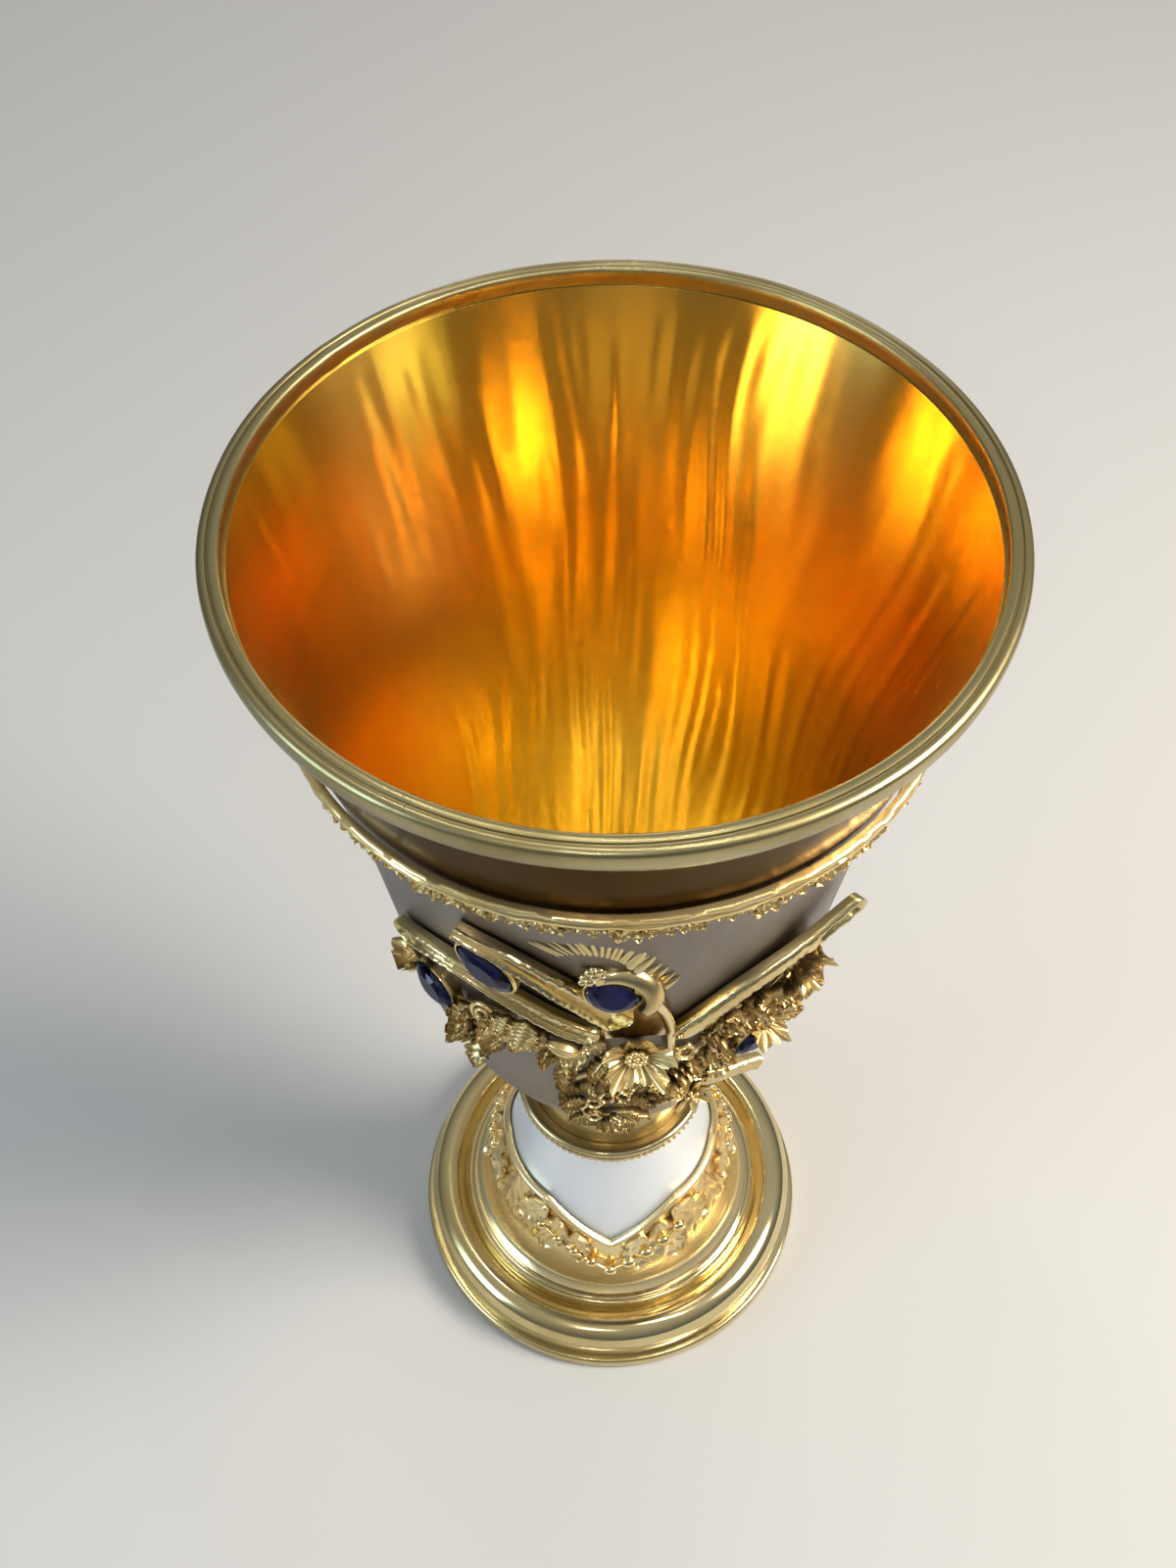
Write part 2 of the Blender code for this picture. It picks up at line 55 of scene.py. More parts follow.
camera = put("camera", bpy.data.cameras.new("camera"))
camera.data.sensor_fit = "VERTICAL"
camera.data.sensor_height = 36.0
camera.data.lens = LENS
camera.data.clip_start = 0.01
forward = Vector((sin(YAW) * cos(PITCH), cos(YAW) * cos(PITCH), -sin(PITCH)))
level = Vector((cos(YAW), -sin(YAW), 0.0))
upright = level.cross(forward)
camera_right = cos(ROLL) * level + sin(ROLL) * upright
camera_up = cos(ROLL) * upright - sin(ROLL) * level
turn = Matrix((camera_right, camera_up, -forward)).transposed().to_4x4()
camera.matrix_world = Matrix.Translation(CAMERA_PLACE) @ turn
bpy.context.scene.camera = camera


# Floor and studio light
# A plain pale floor under soft boxes: a warm key on the right, a cool fill on the left,
# strips overhead that the polished inside picks up, and two small lamps for sparkle.
FLOOR_REACH = 3.0
SOFT_BOXES = (  # name, place, height of its aim on the axis, width, depth, watts, colour
    ("key", (0.42, -0.06, 0.46), 0.07, 0.22, 0.22, 4.6, (1.0, 0.92, 0.80)),
    ("fill", (-0.50, -0.22, 0.30), 0.07, 0.30, 0.30, 1.3, (0.58, 0.80, 1.0)),
    ("strip_left", (-0.07, 0.10, 0.60), 0.10, 0.02, 0.20, 0.22, (1.0, 0.95, 0.86)),
    ("strip_right", (0.12, -0.10, 0.60), 0.10, 0.02, 0.20, 0.22, (1.0, 0.95, 0.86)),
    ("behind", (0.05, 0.60, 0.34), 0.09, 0.50, 0.25, 0.5, (1.0, 0.96, 0.90)))
SPARKLES = (((-0.035, -0.20, 0.34), 0.26), ((0.05, 0.03, 0.50), 0.14))  # place, watts


def feed(node, feeds):
    """Fills a node's inputs, each with a value, a socket or the first output of another node."""
    for name, value in feeds.items():
        if isinstance(value, bpy.types.Node):
            value = value.outputs[0]
        if isinstance(value, bpy.types.NodeSocket):
            node.id_data.links.new(value, node.inputs[name])
        else:
            node.inputs[name].default_value = value
    return node


def add_node(tree, kind, feeds={}, **settings):
    node = tree.nodes.new(kind)
    for name, value in settings.items():
        setattr(node, name, value)
    return feed(node, feeds)


def new_material(name):
    """A material, its tree and its shader."""
    material = bpy.data.materials.new(name)
    material.use_nodes = True
    tree = material.node_tree
    return material, tree, tree.nodes["Principled BSDF"]


def own_place(tree):
    """A piece's own coordinates."""
    return add_node(tree, "ShaderNodeTexCoord").outputs["Object"]


def cloudy(tree, place, scale, detail=2.0):
    return add_node(tree, "ShaderNodeTexNoise", {"Vector": place, "Scale": scale, "Detail": detail})


def two_tone(tree, share, low, high, start=0.0, end=1.0):
    """A ramp between two colours."""
    ramp = add_node(tree, "ShaderNodeValToRGB", {"Fac": share})
    for stop, color, place in zip(ramp.color_ramp.elements, (low, high), (start, end)):
        stop.color, stop.position = (*color, 1.0), place
    return ramp


def lamp(name, kind, place, watts, **settings):
    data = bpy.data.lights.new(name, kind)
    data.energy = watts
    for setting, value in settings.items():
        setattr(data, setting, value)
    thing = put(name, data)
    thing.location = place
    return thing


floor_finish, tree, shader = new_material("pale_floor")
tone = two_tone(tree, cloudy(tree, own_place(tree), 3.0), (0.49, 0.485, 0.475), (0.53, 0.525, 0.515))
feed(shader, {"Roughness": 0.75, "Specular IOR Level": 0.2, "Base Color": tone})
floor_mesh = bpy.data.meshes.new("floor")
corners = ((-1, -1), (1, -1), (1, 1), (-1, 1))
floor_mesh.from_pydata([(x * FLOOR_REACH, y * FLOOR_REACH, 0.0) for x, y in corners], [], [(0, 1, 2, 3)])
floor_mesh.materials.append(floor_finish)
floor = put("floor", floor_mesh)

world = bpy.data.worlds.new("studio")
world.use_nodes = True
tree = world.node_tree
direction = add_node(tree, "ShaderNodeTexCoord").outputs["Generated"]
parts = add_node(tree, "ShaderNodeSeparateXYZ", {0: direction})
sky = two_tone(tree, parts.outputs["Z"], (0.10, 0.115, 0.14), (0.44, 0.44, 0.43), 0.05, 0.9)
feed(tree.nodes["Background"], {"Color": sky})
bpy.context.scene.world = world
bpy.context.scene.view_settings.view_transform = "Standard"
bpy.context.scene.cycles.glossy_bounces = 10
for name, place, aim, width, depth, watts, color in SOFT_BOXES:
    box = lamp(name, "AREA", place, watts, shape="RECTANGLE", size=width, size_y=depth, color=color)
    box.rotation_euler = (Vector((0.0, 0.0, aim)) - Vector(place)).to_track_quat("-Z", "Y").to_euler()
for number, (place, watts) in enumerate(SPARKLES):
    lamp(f"sparkle_{number}", "POINT", place, watts, shadow_soft_size=0.004)


# Stepped foot
# The gilt foot that the goblet stands on, spun from one disc: flange, groove, big rounded
# moulding, cavetto and shelf. It is hollow underneath and highly polished.
GROOVE_RADIUS = 0.0284
MOULDING_RADIUS = 0.0031
SHELF_HEIGHT = 0.0086


def calc(tree, operation, *inputs, kind="Math", **settings):
    """A math or vector math node with its inputs in order."""
    return add_node(tree, f"ShaderNode{kind}", dict(enumerate(inputs)), operation=operation, **settings)


def mixed(tree, kind, share, first, second):
    feeds = {"Factor": share, "A": first, "B": second}
    return add_node(tree, "ShaderNodeMix", feeds, data_type=kind).outputs["Result"]


def bumped(tree, height, strength, depth):
    return add_node(tree, "ShaderNodeBump", {"Height": height, "Strength": strength, "Distance": depth})


def new_group(name, kind, inputs, outputs):
    """A node group with its sockets by type, what comes into it, and its last node."""
    group = bpy.data.node_groups.new(name, f"{kind}NodeTree")
    for in_out, sockets in (("INPUT", inputs), ("OUTPUT", outputs)):
        for socket, labels in sockets.items():
            for label in labels:
                group.interface.new_socket(label, in_out=in_out, socket_type=f"NodeSocket{socket}")
    return group, add_node(group, "NodeGroupInput").outputs, add_node(group, "NodeGroupOutput")


def turned_marks():
    """Fine lines left by turning and polishing, and the soft dents of use."""
    group, enter, leave = new_group("turned_marks", "Shader", {"Float": ("Lines", "Dents")},
                                    {"Float": ("Height",)})
    place = own_place(group)
    height = add_node(group, "ShaderNodeSeparateXYZ", {0: place}).outputs["Z"]
    flat = calc(group, "MULTIPLY", place, (1.0, 1.0, 0.0), kind="VectorMath")
    length = calc(group, "LENGTH", flat, kind="VectorMath").outputs["Value"]
    around = calc(group, "NORMALIZE", flat, kind="VectorMath")
    fine = calc(group, "MULTIPLY", calc(group, "ADD", height, length), enter["Lines"])
    spread = add_node(group, "ShaderNodeCombineXYZ", {"Z": fine})
    lines = cloudy(group, calc(group, "ADD", around, spread, kind="VectorMath"), 1.0, 3.0)
    deep = calc(group, "MULTIPLY", cloudy(group, place, enter["Dents"], 1.0), 6.0)
    feed(leave, {"Height": calc(group, "ADD", lines, deep)})
    return group


def gilding():
    """Gold tone and polish: bright on the high places, deeper in patches, with painted shade in the hollows.
    """
    group, enter, leave = new_group(
        "gilding", "Shader",
        {"Color": ("Bright", "Deep", "Shade"), "Float": ("Patches", "Polished", "Dull")},
        {"Color": ("Color",), "Float": ("Roughness",)})
    place = own_place(group)
    patches = cloudy(group, place, enter["Patches"], 4.0)
    spread = add_node(group, "ShaderNodeMapRange", {"From Min": 0.35, "From Max": 0.65, "Value": patches})
    tone = mixed(group, "RGBA", spread, enter["Deep"], enter["Bright"])
    # painted shade: the hollow attribute mixes the tone towards the Shade colour, where shade would fall in
    # recesses, and roughens it there
    hollow = add_node(group, "ShaderNodeAttribute", attribute_name="hollow").outputs["Fac"]
    polish = mixed(group, "FLOAT", spread, enter["Dull"], enter["Polished"])
    feed(leave, {"Color": mixed(group, "RGBA", hollow, tone, enter["Shade"]),
                 "Roughness": calc(group, "MULTIPLY_ADD", hollow, 0.3, polish, use_clamp=True)})
    return group


MARKS = turned_marks()
GILDING = gilding()


def metal_finish(name, tones, patches, polish, marks, depth, metal=1.0):
    """A metal: bright and deep tones and a painted-shade tone for its hollows, polished and dull roughness,
    marks and their depth.
    """
    material, tree, shader = new_material(name)
    bright, deep, shade = ((*tone, 1.0) for tone in tones)
    gilt = add_node(tree, "ShaderNodeGroup", node_tree=GILDING)
    feed(gilt, {"Bright": bright, "Deep": deep, "Shade": shade, "Patches": patches,
                "Polished": polish[0], "Dull": polish[1]})
    turned = add_node(tree, "ShaderNodeGroup", {"Lines": marks[0], "Dents": marks[1]}, node_tree=MARKS)
    feed(shader, {"Metallic": metal, "Base Color": gilt.outputs["Color"],
                  "Roughness": gilt.outputs["Roughness"], "Normal": bumped(tree, turned, 0.6, depth)})
    return material


def make_piece(name, part, materials, sharp, slot, *nodes, kinds=None):
    """Makes a piece with its normals out, in place of its CAD node.

    A part is (points, faces) or (points, faces, hollow); hollow is how deep each point lies, 0 to 1, and
    sets how much painted shade the gilding lays there.
    """
    mesh = bpy.data.meshes.new(name)
    mesh.from_pydata([tuple(point) for point in part[0]], [], part[1])
    for hollow in part[2:]:
        mesh.attributes.new("hollow", "FLOAT", "POINT").data.foreach_set("value", hollow)
    for material in materials:
        mesh.materials.append(material)
    if kinds is not None:
        mesh.polygons.foreach_set("material_index", kinds)
    bm = bmesh.new()
    bm.from_mesh(mesh)
    bmesh.ops.remove_doubles(bm, verts=bm.verts, dist=1e-7)
    bmesh.ops.recalc_face_normals(bm, faces=bm.faces)
    bm.to_mesh(mesh)
    bm.free()
    mesh.shade_smooth()
    mesh.set_sharp_from_angle(angle=radians(sharp))
    piece = put(name, mesh)
    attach(piece, "root")
    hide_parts(*nodes)


def about(angle, radius, height):
    """A point about the cup's axis, its angle taken from the front."""
    return (radius * sin(angle), -radius * cos(angle), height)


def skin(count, rings, closed=False, caps=(0, -1)):
    """Faces between rings of count points; the rings close on each other, or the named ones are capped."""
    faces = []
    for i in range(rings if closed else rings - 1):
        here, there = i * count, (i + 1) % rings * count
        for k in range(count):
            nxt = (k + 1) % count
            faces.append((here + k, here + nxt, there + nxt, there + k))
    for ring in () if closed else caps:
        start = ring % rings * count
        faces.append(tuple(range(start, start + count)))
    return faces


def around_axis(outline, steps, change=lambda radius, height, angle: (radius, height)):
    """A closed outline of (radius, height) turned about the cup's axis."""
    points = []
    for i in range(steps):
        angle = tau * i / steps
        points += [about(angle, *change(radius, height, angle)) for radius, height in outline]
    return points, skin(len(outline), steps, closed=True)


def arc(centre, radius, start, end, steps):
    """Points of an arc in the outline's plane, from one angle in degrees to another."""
    angles = [radians(start + (end - start) * i / steps) for i in range(steps + 1)]
    return [(centre[0] + radius * cos(a), centre[1] + radius * sin(a)) for a in angles]


foot_gilt = metal_finish("foot_gilt", ((0.80, 0.67, 0.37), (0.60, 0.47, 0.21), (0.16, 0.10, 0.04)),
                         45.0, (0.10, 0.24), (1800.0, 150.0), 0.000012)
moulding = (GROOVE_RADIUS - 0.55 * MOULDING_RADIUS, SHELF_HEIGHT - 0.9 * MOULDING_RADIUS)
foot_outline = [(0.0284, 0.0), *arc((0.0304, 0.0006), 0.0006, -90, 0, 6),
                *arc((0.0304, 0.0018), 0.0006, 0, 90, 6), (0.0298, 0.0024), (0.0293, 0.00245),
                (0.0289, 0.0026), *arc((0.0286, 0.0034), 0.0006, 250, 190, 5),
                *arc(moulding, MOULDING_RADIUS, -22, 118, 26), (0.0246, 0.00815), (0.0241, 0.00775),
                (0.0236, 0.0075), (0.0231, 0.0075), *arc((0.0226, 0.0081), 0.00045, -60, 90, 7),
                (0.0215, SHELF_HEIGHT - 0.00003), (0.0188, SHELF_HEIGHT - 0.00003), (0.0188, 0.0073),
                (0.0222, 0.0060), (0.0262, 0.0066), (0.0270, 0.0024)]
make_piece("foot_moulding", around_axis(foot_outline, 200), [foot_gilt], 50.0, "polished_gilt", "foot_base")


# Silver bell
# The white silver bell inside the foot's gilt mantle, seen through the mantle's notches.
# It is raised from sheet, frosted all over, and open below.
DOME_Z = 0.0089
DOME_HEIGHT = 0.0311
DOME_RADIUS = 0.0203
DOME_TOP_RADIUS = 0.0125
DOME_WALL = 0.0012


def dome_radius(height):
    up = min(max(height / DOME_HEIGHT, 0.0), 1.0)
    return DOME_TOP_RADIUS + (DOME_RADIUS - DOME_TOP_RADIUS) * (1.0 - up) ** 1.25


def frosted_silver():
    material, tree, shader = new_material("frosted_silver")
    place = own_place(tree)
    tarnish = cloudy(tree, place, 55.0, 5.0)
    tone = two_tone(tree, tarnish, (0.80, 0.85, 0.92), (0.93, 0.96, 1.0), 0.3, 0.7)
    dull = add_node(tree, "ShaderNodeMapRange", {"To Min": 0.42, "To Max": 0.30, "Value": tarnish})
    feed(shader, {"Metallic": 0.6, "Base Color": tone, "Roughness": dull,
                  "Normal": bumped(tree, cloudy(tree, place, 4200.0), 0.5, 0.00003)})
    return material


bell_outline = [(dome_radius(DOME_HEIGHT * i / 26), DOME_Z + DOME_HEIGHT * i / 26) for i in range(27)]
bell_outline += [(radius - DOME_WALL, height) for radius, height in bell_outline[::-1]]
make_piece("silver_bell", around_axis(bell_outline, 144), [frosted_silver()], 50.0,
           "white_silver", "foot_dome")


# Gilt mantle
# The gilt sheet round the bell, cut to a pointed notch before each silver panel. Leaves are
# chased between the notches, and clusters of cast ones hang on both sides of each notch.
SKIRT_HEIGHT = 0.0168
SKIRT_WALL = 0.0009
NOTCH_DEPTH = 0.0062
NOTCH_WIDTH = 76.0
NOTCHES = (0.0, 120.0, 240.0)
MANTLE_LEAVES = ((-60.0, 9.5, 0.97), (-45.0, 8.5, 0.95), (45.0, 8.5, 0.95), (60.0, 9.5, 0.97))
PENDANTS = (  # azimuth in the notch, drop, length, width, spin
    (-17.0, 0.0, 6.5, 4.6, 10.0), (-26.0, 0.0, 8.4, 5.8, -16.0), (-34.0, 0.2, 8.0, 5.4, -44.0),
    (16.0, 0.0, 7.6, 5.6, -12.0), (25.0, 0.0, 9.8, 7.2, 16.0), (34.0, 0.2, 9.0, 6.4, 44.0))


def in_notch(azimuth):
    return (azimuth + 60.0) % 120.0 - 60.0


def skirt_edge(azimuth):
    off = abs(in_notch(azimuth)) / (NOTCH_WIDTH / 2)
    return SKIRT_HEIGHT - NOTCH_DEPTH * max(1.0 - off, 0.0) ** 1.2


def mantle_relief(azimuth, share):
    """Relief of the chased leaves, and how hollow the place is, which sets its painted shade."""
    local = in_notch(azimuth)
    relief, hollow = 0.0, 0.0
    foot_line = 0.36
    for centre, half, top in MANTLE_LEAVES:
        up = (share - foot_line) / (top - foot_line)
        if not 0.0 < up < 1.0:
            continue
        width = half * (1.0 - up ** 1.7) ** 0.75 * (0.72 + 0.28 * sin(pi * min(up * 1.3, 1.0)))
        across = abs(local - centre) / max(width, 0.2)
        if across > 1.25:
            continue
        rim = exp(-((across - 0.86) / 0.15) ** 2)
        rib = exp(-(across / 0.13) ** 2) * (1.0 - up)
        veins = (0.5 + 0.5 * cos(tau * (3.2 * up + 1.1 * across))) * (across < 0.8)
        fade = min(up / 0.15, 1.0)
        height = fade * max(rim, 0.8 * rib, 0.38 * veins)
        relief = max(relief, height)
        inside = max(1.0 - across ** 4, 0.0)
        # painted shade inside each chased leaf, less where its relief stands high
        hollow = max(hollow, fade * inside * (1.0 - min(height * 1.6, 1.0)) * 0.5)
    edge = exp(-((share - 0.975) / 0.03) ** 2) * 0.5
    return max(relief, edge), hollow


def spun(x, y, spin):
    turn = radians(spin)
    return x * cos(turn) - y * sin(turn), x * sin(turn) + y * cos(turn)


def on_bell(part, azimuth, height, spin):
    """Sets a flat-made part on the mantle: turned by spin, its base at a height on the bell."""
    points = []
    for x, y, z in part[0]:
        across, up = spun(x, y, spin)
        level = height + 0.86 * up
        radius = dome_radius(level) + 0.0006 + 0.75 * SKIRT_WALL + z
        points.append(about(radians(azimuth) + across / radius, radius, DOME_Z + level))
    return (points, *part[1:])


def repeat_along_tree():
    """Geometry Nodes: a shape repeated along a line, each facing out from the cup's axis."""
    tree, enter, leave = new_group(
        "repeat_along", "Geometry", {"Geometry": ("Geometry",), "Int": ("Count", "Seed"),
                                     "Float": ("Smallest", "Largest", "Slant", "Slant Spread"),
                                     "Object": ("Shape",), "Material": ("Finish",)},
        {"Geometry": ("Geometry",)})
    line = add_node(tree, "GeometryNodeMeshToCurve", {"Mesh": enter["Geometry"]})
    spots = add_node(tree, "GeometryNodeCurveToPoints", mode="COUNT")
    feed(spots, {"Curve": line, "Count": enter["Count"]})
    where = add_node(tree, "GeometryNodeInputPosition")
    flat = calc(tree, "MULTIPLY", where, (1.0, 1.0, 0.0), kind="VectorMath")
    outward = add_node(tree, "FunctionNodeAlignRotationToVector", {"Vector": flat}, axis="Z")
    level = add_node(tree, "FunctionNodeAlignRotationToVector", axis="X", pivot_axis="Z")
    feed(level, {"Rotation": outward, "Vector": spots.outputs["Tangent"]})
    low, high = (calc(tree, sign, enter["Slant"], enter["Slant Spread"]) for sign in ("SUBTRACT", "ADD"))
    slant, size = (add_node(tree, "FunctionNodeRandomValue", {2: least, 3: most, "Seed": enter["Seed"]},
                            data_type="FLOAT").outputs[1]
                   for least, most in ((low, high), (enter["Smallest"], enter["Largest"])))
    spin = add_node(tree, "FunctionNodeAxisAngleToRotation", {"Axis": (0.0, 0.0, 1.0), "Angle": slant})
    turned = add_node(tree, "FunctionNodeRotateRotation", rotation_space="LOCAL")
    feed(turned, {"Rotation": level, "Rotate By": spin})
    shape = add_node(tree, "GeometryNodeObjectInfo", {"Object": enter["Shape"]}).outputs["Geometry"]
    copies = add_node(tree, "GeometryNodeInstanceOnPoints",
                      {"Points": spots, "Instance": shape, "Rotation": turned, "Scale": size})
    real = add_node(tree, "GeometryNodeRealizeInstances", {"Geometry": copies})
    coat = add_node(tree, "GeometryNodeSetMaterial", {"Geometry": real, "Material": enter["Finish"]})
    feed(leave, {"Geometry": coat})
    return tree


REPEAT_ALONG = repeat_along_tree()


def repeated(path, ring, shape, finish, count, sizes, slants=(0.0, 0.0), seed=1):
    """Runs the tree on a line of points and returns the part that it makes."""
    mesh = bpy.data.meshes.new("path")
    edges = [(i, i + 1) for i in range(len(path) - 1)] + ([(len(path) - 1, 0)] if ring else [])
    mesh.from_pydata(path, edges, [])
    line = put("path", mesh)
    modifier = line.modifiers.new("repeat", "NODES")
    modifier.node_group = REPEAT_ALONG
    values = {"Count": count, "Smallest": sizes[0], "Largest": sizes[1], "Slant": radians(slants[0]),
              "Slant Spread": radians(slants[1]), "Seed": seed, "Shape": shape, "Finish": finish}
    for item in REPEAT_ALONG.interface.items_tree:
        if item.in_out == "INPUT" and item.name in values:
            modifier[item.identifier] = values[item.name]
    line.update_tag()
    graph = bpy.context.evaluated_depsgraph_get()
    made = bpy.data.meshes.new_from_object(line.evaluated_get(graph), depsgraph=graph)
    line.modifiers.clear()
    points = [tuple(vertex.co) for vertex in made.vertices]
    faces = [tuple(face.vertices) for face in made.polygons]
    # the copies keep their shape's hollow values, which set their painted shade
    dark = made.attributes.get("hollow")
    hollow = [entry.value for entry in dark.data] if dark else [0.0] * len(points)
    bpy.data.objects.remove(line)
    return points, faces, hollow


def helper(name, part):
    """A shape that the tree copies; it is taken away again after use."""
    mesh = bpy.data.meshes.new(name)
    mesh.from_pydata(part[0], [], part[1])
    hollow = part[2] if len(part) > 2 else [0.0] * len(part[0])
    mesh.attributes.new("hollow", "FLOAT", "POINT").data.foreach_set("value", hollow)
    return put(name, mesh)


def circle_point(angle, reach, up):
    return (reach * cos(angle), reach * sin(angle), up)


def moved(part, x, y, z):
    return ([(px + x, py + y, pz + z) for px, py, pz in part[0]], *part[1:])


def ball(radii, rings=7, sides=12):
    """A ball with its own reach along each axis."""
    points = [(0.0, 0.0, -radii[2])]
    for i in range(1, rings):
        low = -pi / 2 + pi * i / rings
        for k in range(sides):
            x, y, z = circle_point(tau * k / sides, cos(low), sin(low))
            points.append((radii[0] * x, radii[1] * y, radii[2] * z))
    points.append((0.0, 0.0, radii[2]))
    last = len(points) - 1
    faces = [tuple(1 + index for index in face) for face in skin(sides, rings - 1, caps=())]
    for k in range(sides):
        nxt = (k + 1) % sides
        faces += [(0, 1 + nxt, 1 + k), (last, last - sides + k, last - sides + nxt)]
    return points, faces


def tube(path, radii, sides=8, ring=False):
    """A round wire along a path; radii is one radius or one for each point."""
    count = len(path)
    if not isinstance(radii, (list, tuple)):
        radii = [radii] * count
    points, side = [], None
    for i, here in enumerate(path):
        before = path[i - 1] if i or ring else here
        after = path[(i + 1) % count] if i + 1 < count or ring else here
        run = (Vector(after) - Vector(before)).normalized()
        if side is None:
            side = run.orthogonal().normalized()
        side = (side - run * side.dot(run)).normalized()
        other = run.cross(side)
        for k in range(sides):
            turn = tau * k / sides
            points.append(tuple(Vector(here) + radii[i] * (side * cos(turn) + other * sin(turn))))
    return points, skin(sides, count, closed=ring)


def gather(parts):
    """Joins (points, faces[, hollow]) parts into one set."""
    points, faces, hollow = [], [], []
    for part in parts:
        start = len(points)
        points += part[0]
        faces += [tuple(start + k for k in face) for face in part[1]]
        hollow += part[2] if len(part) > 2 else [0.0] * len(part[0])
    return points, faces, hollow


def leaf(length, width, lobes, thickness, cup, curl, along_steps, across_steps):
    """A lobed leaf in its own plane: base at the origin, tip along +Y, face up; with veins."""
    points, hollow = [], []
    for i in range(along_steps + 1):
        v = i / along_steps
        body = sin(pi * min(0.06 + 0.94 * v, 1.0) ** 0.8) ** 0.7
        notch = abs(sin(pi * lobes * v)) ** 0.7
        half = width * max(body * (0.55 + 0.45 * notch), 0.05)
        section = []
        for k in range(across_steps + 1):
            u = 2.0 * k / across_steps - 1.0
            rib = exp(-(u / 0.16) ** 2)
            vein = 0.5 + 0.5 * cos(tau * (lobes * v - 0.55 * abs(u)) + pi)
            lift = cup * width * (u * u - 0.4) + curl * length * v * v
            top = lift + thickness * (0.45 + 0.45 * rib + 0.4 * vein * abs(u))
            place = (u * half, length * v + 0.30 * half * abs(u) * (1.0 - v), top)
            # painted shade between the veins, none on the midrib
            section.append((place, 0.75 * (1.0 - max(rib, 0.25 + 0.75 * vein * abs(u)))))
        for k in range(across_steps, -1, -1):
            u = 2.0 * k / across_steps - 1.0
            (x, y, top), _ = section[k]
            # the underside gets full painted shade
            section.append(((x * 0.92, y, top - thickness * 0.9), 1.0))
        for place, dark in section:
            points.append(place)
            hollow.append(dark)
    return points, skin(2 * (across_steps + 1), along_steps + 1), hollow


def make_mantle():
    levels, steps = 56, 600
    points, hollow = [], []
    for i in range(steps):
        azimuth = 360.0 * i / steps
        top = skirt_edge(azimuth) - 0.00001
        rows = []
        for k in range(levels + 1):
            share = k / levels
            relief, dark = mantle_relief(azimuth, share)
            flare = 0.0009 * max(1.0 - share / 0.10, 0.0) ** 2
            rows.append((share, SKIRT_WALL * (0.75 + 0.85 * relief) + flare, dark))
        rows += [(share, 0.0, 0.0) for share in (1.0, 0.66, 0.33, 0.0)]
        for share, out, dark in rows:
            radius = dome_radius(share * top) + 0.0003 + out
            points.append(about(radians(azimuth), radius, DOME_Z + share * top))
            hollow.append(dark)
    gilt = metal_finish("mantle_gilt", ((0.96, 0.80, 0.46), (0.80, 0.60, 0.27), (0.26, 0.15, 0.05)),
                        70.0, (0.15, 0.30), (1500.0, 260.0), 0.000016, 0.85)
    parts = [(points, skin(levels + 5, steps, closed=True), hollow)]
    for notch in NOTCHES:
        for local, drop, length, width, spin in PENDANTS:
            blade = leaf(length / 1000.0, width / 2000.0, 3, 0.0008, 0.16, 0.02, 26, 12)
            # the hanging leaves get under half the painted shade of a plain leaf
            bright = (*blade[:2], [0.45 * dark for dark in blade[2]])
            height = skirt_edge(local) - 0.0012 + drop / 1000.0
            parts.append(on_bell(bright, notch + local, height, 180.0 + spin))
    make_piece("gilt_mantle", gather(parts), [gilt], 60.0, "cast_gilt", "leaf_skirt")


make_mantle()


# Beaded wires
# One beaded gilt wire hangs in a V below each notch of the mantle. The beads are separate
# balls of uneven size, fused to a thin wire that is soldered to the mantle.
BEAD_RADIUS = 0.0013
BEAD_DROP = 0.0040
BEADS_IN_A_WIRE = 9
bead_gilt = metal_finish("bead_gilt", ((1.0, 0.82, 0.42), (0.88, 0.64, 0.25), (0.2, 0.1, 0.03)),
                         300.0, (0.08, 0.18), (1500.0, 400.0), 0.000008)
bead = helper("bead", ball((BEAD_RADIUS, 0.9 * BEAD_RADIUS, 0.8 * BEAD_RADIUS)))
for number, centre in enumerate(NOTCHES, start=1):
    wire = []
    for i in range(61):
        local = 0.46 * NOTCH_WIDTH * (i / 30.0 - 1.0)
        height = skirt_edge(local) - BEAD_DROP - 0.0008
        radius = dome_radius(height) + 0.0003 + SKIRT_WALL + 0.55 * BEAD_RADIUS
        wire.append(about(radians(centre + local), radius, DOME_Z + height))
    beads = repeated(wire, False, bead, bead_gilt, BEADS_IN_A_WIRE, (0.70, 1.0), seed=number)
    make_piece(f"beaded_wire_{number}", gather([beads, tube(wire, 0.20 * BEAD_RADIUS)]), [bead_gilt], 80.0,
               "polished_gilt", f"bead_wire_{number}")
bpy.data.objects.remove(bead)


# Neck
# The short gilt neck between foot and bowl, a hollow curve turned smooth and left dark and
# bright by the polish. It is brazed to the bell below and to the bowl above.
STEM_Z = 0.0403
STEM_HEIGHT = 0.0154
STEM_FOOT_RADIUS = 0.0128
STEM_WAIST_RADIUS = 0.0104


def stem_radius(height):
    up = height / STEM_HEIGHT
    return STEM_WAIST_RADIUS + (STEM_FOOT_RADIUS - STEM_WAIST_RADIUS) * (1.0 - up) ** 2


neck_gilt = metal_finish("neck_gilt", ((0.58, 0.46, 0.25), (0.40, 0.30, 0.14), (0.08, 0.05, 0.02)),
                         60.0, (0.13, 0.26), (2200.0, 180.0), 0.000014)
neck_outline = [(0.0, STEM_Z)] + [(stem_radius(STEM_HEIGHT * i / 22), STEM_Z + STEM_HEIGHT * i / 22)
                                  for i in range(23)] + [(0.0, STEM_Z + STEM_HEIGHT)]
make_piece("neck", around_axis(neck_outline, 128), [neck_gilt], 50.0, "polished_gilt", "stem")


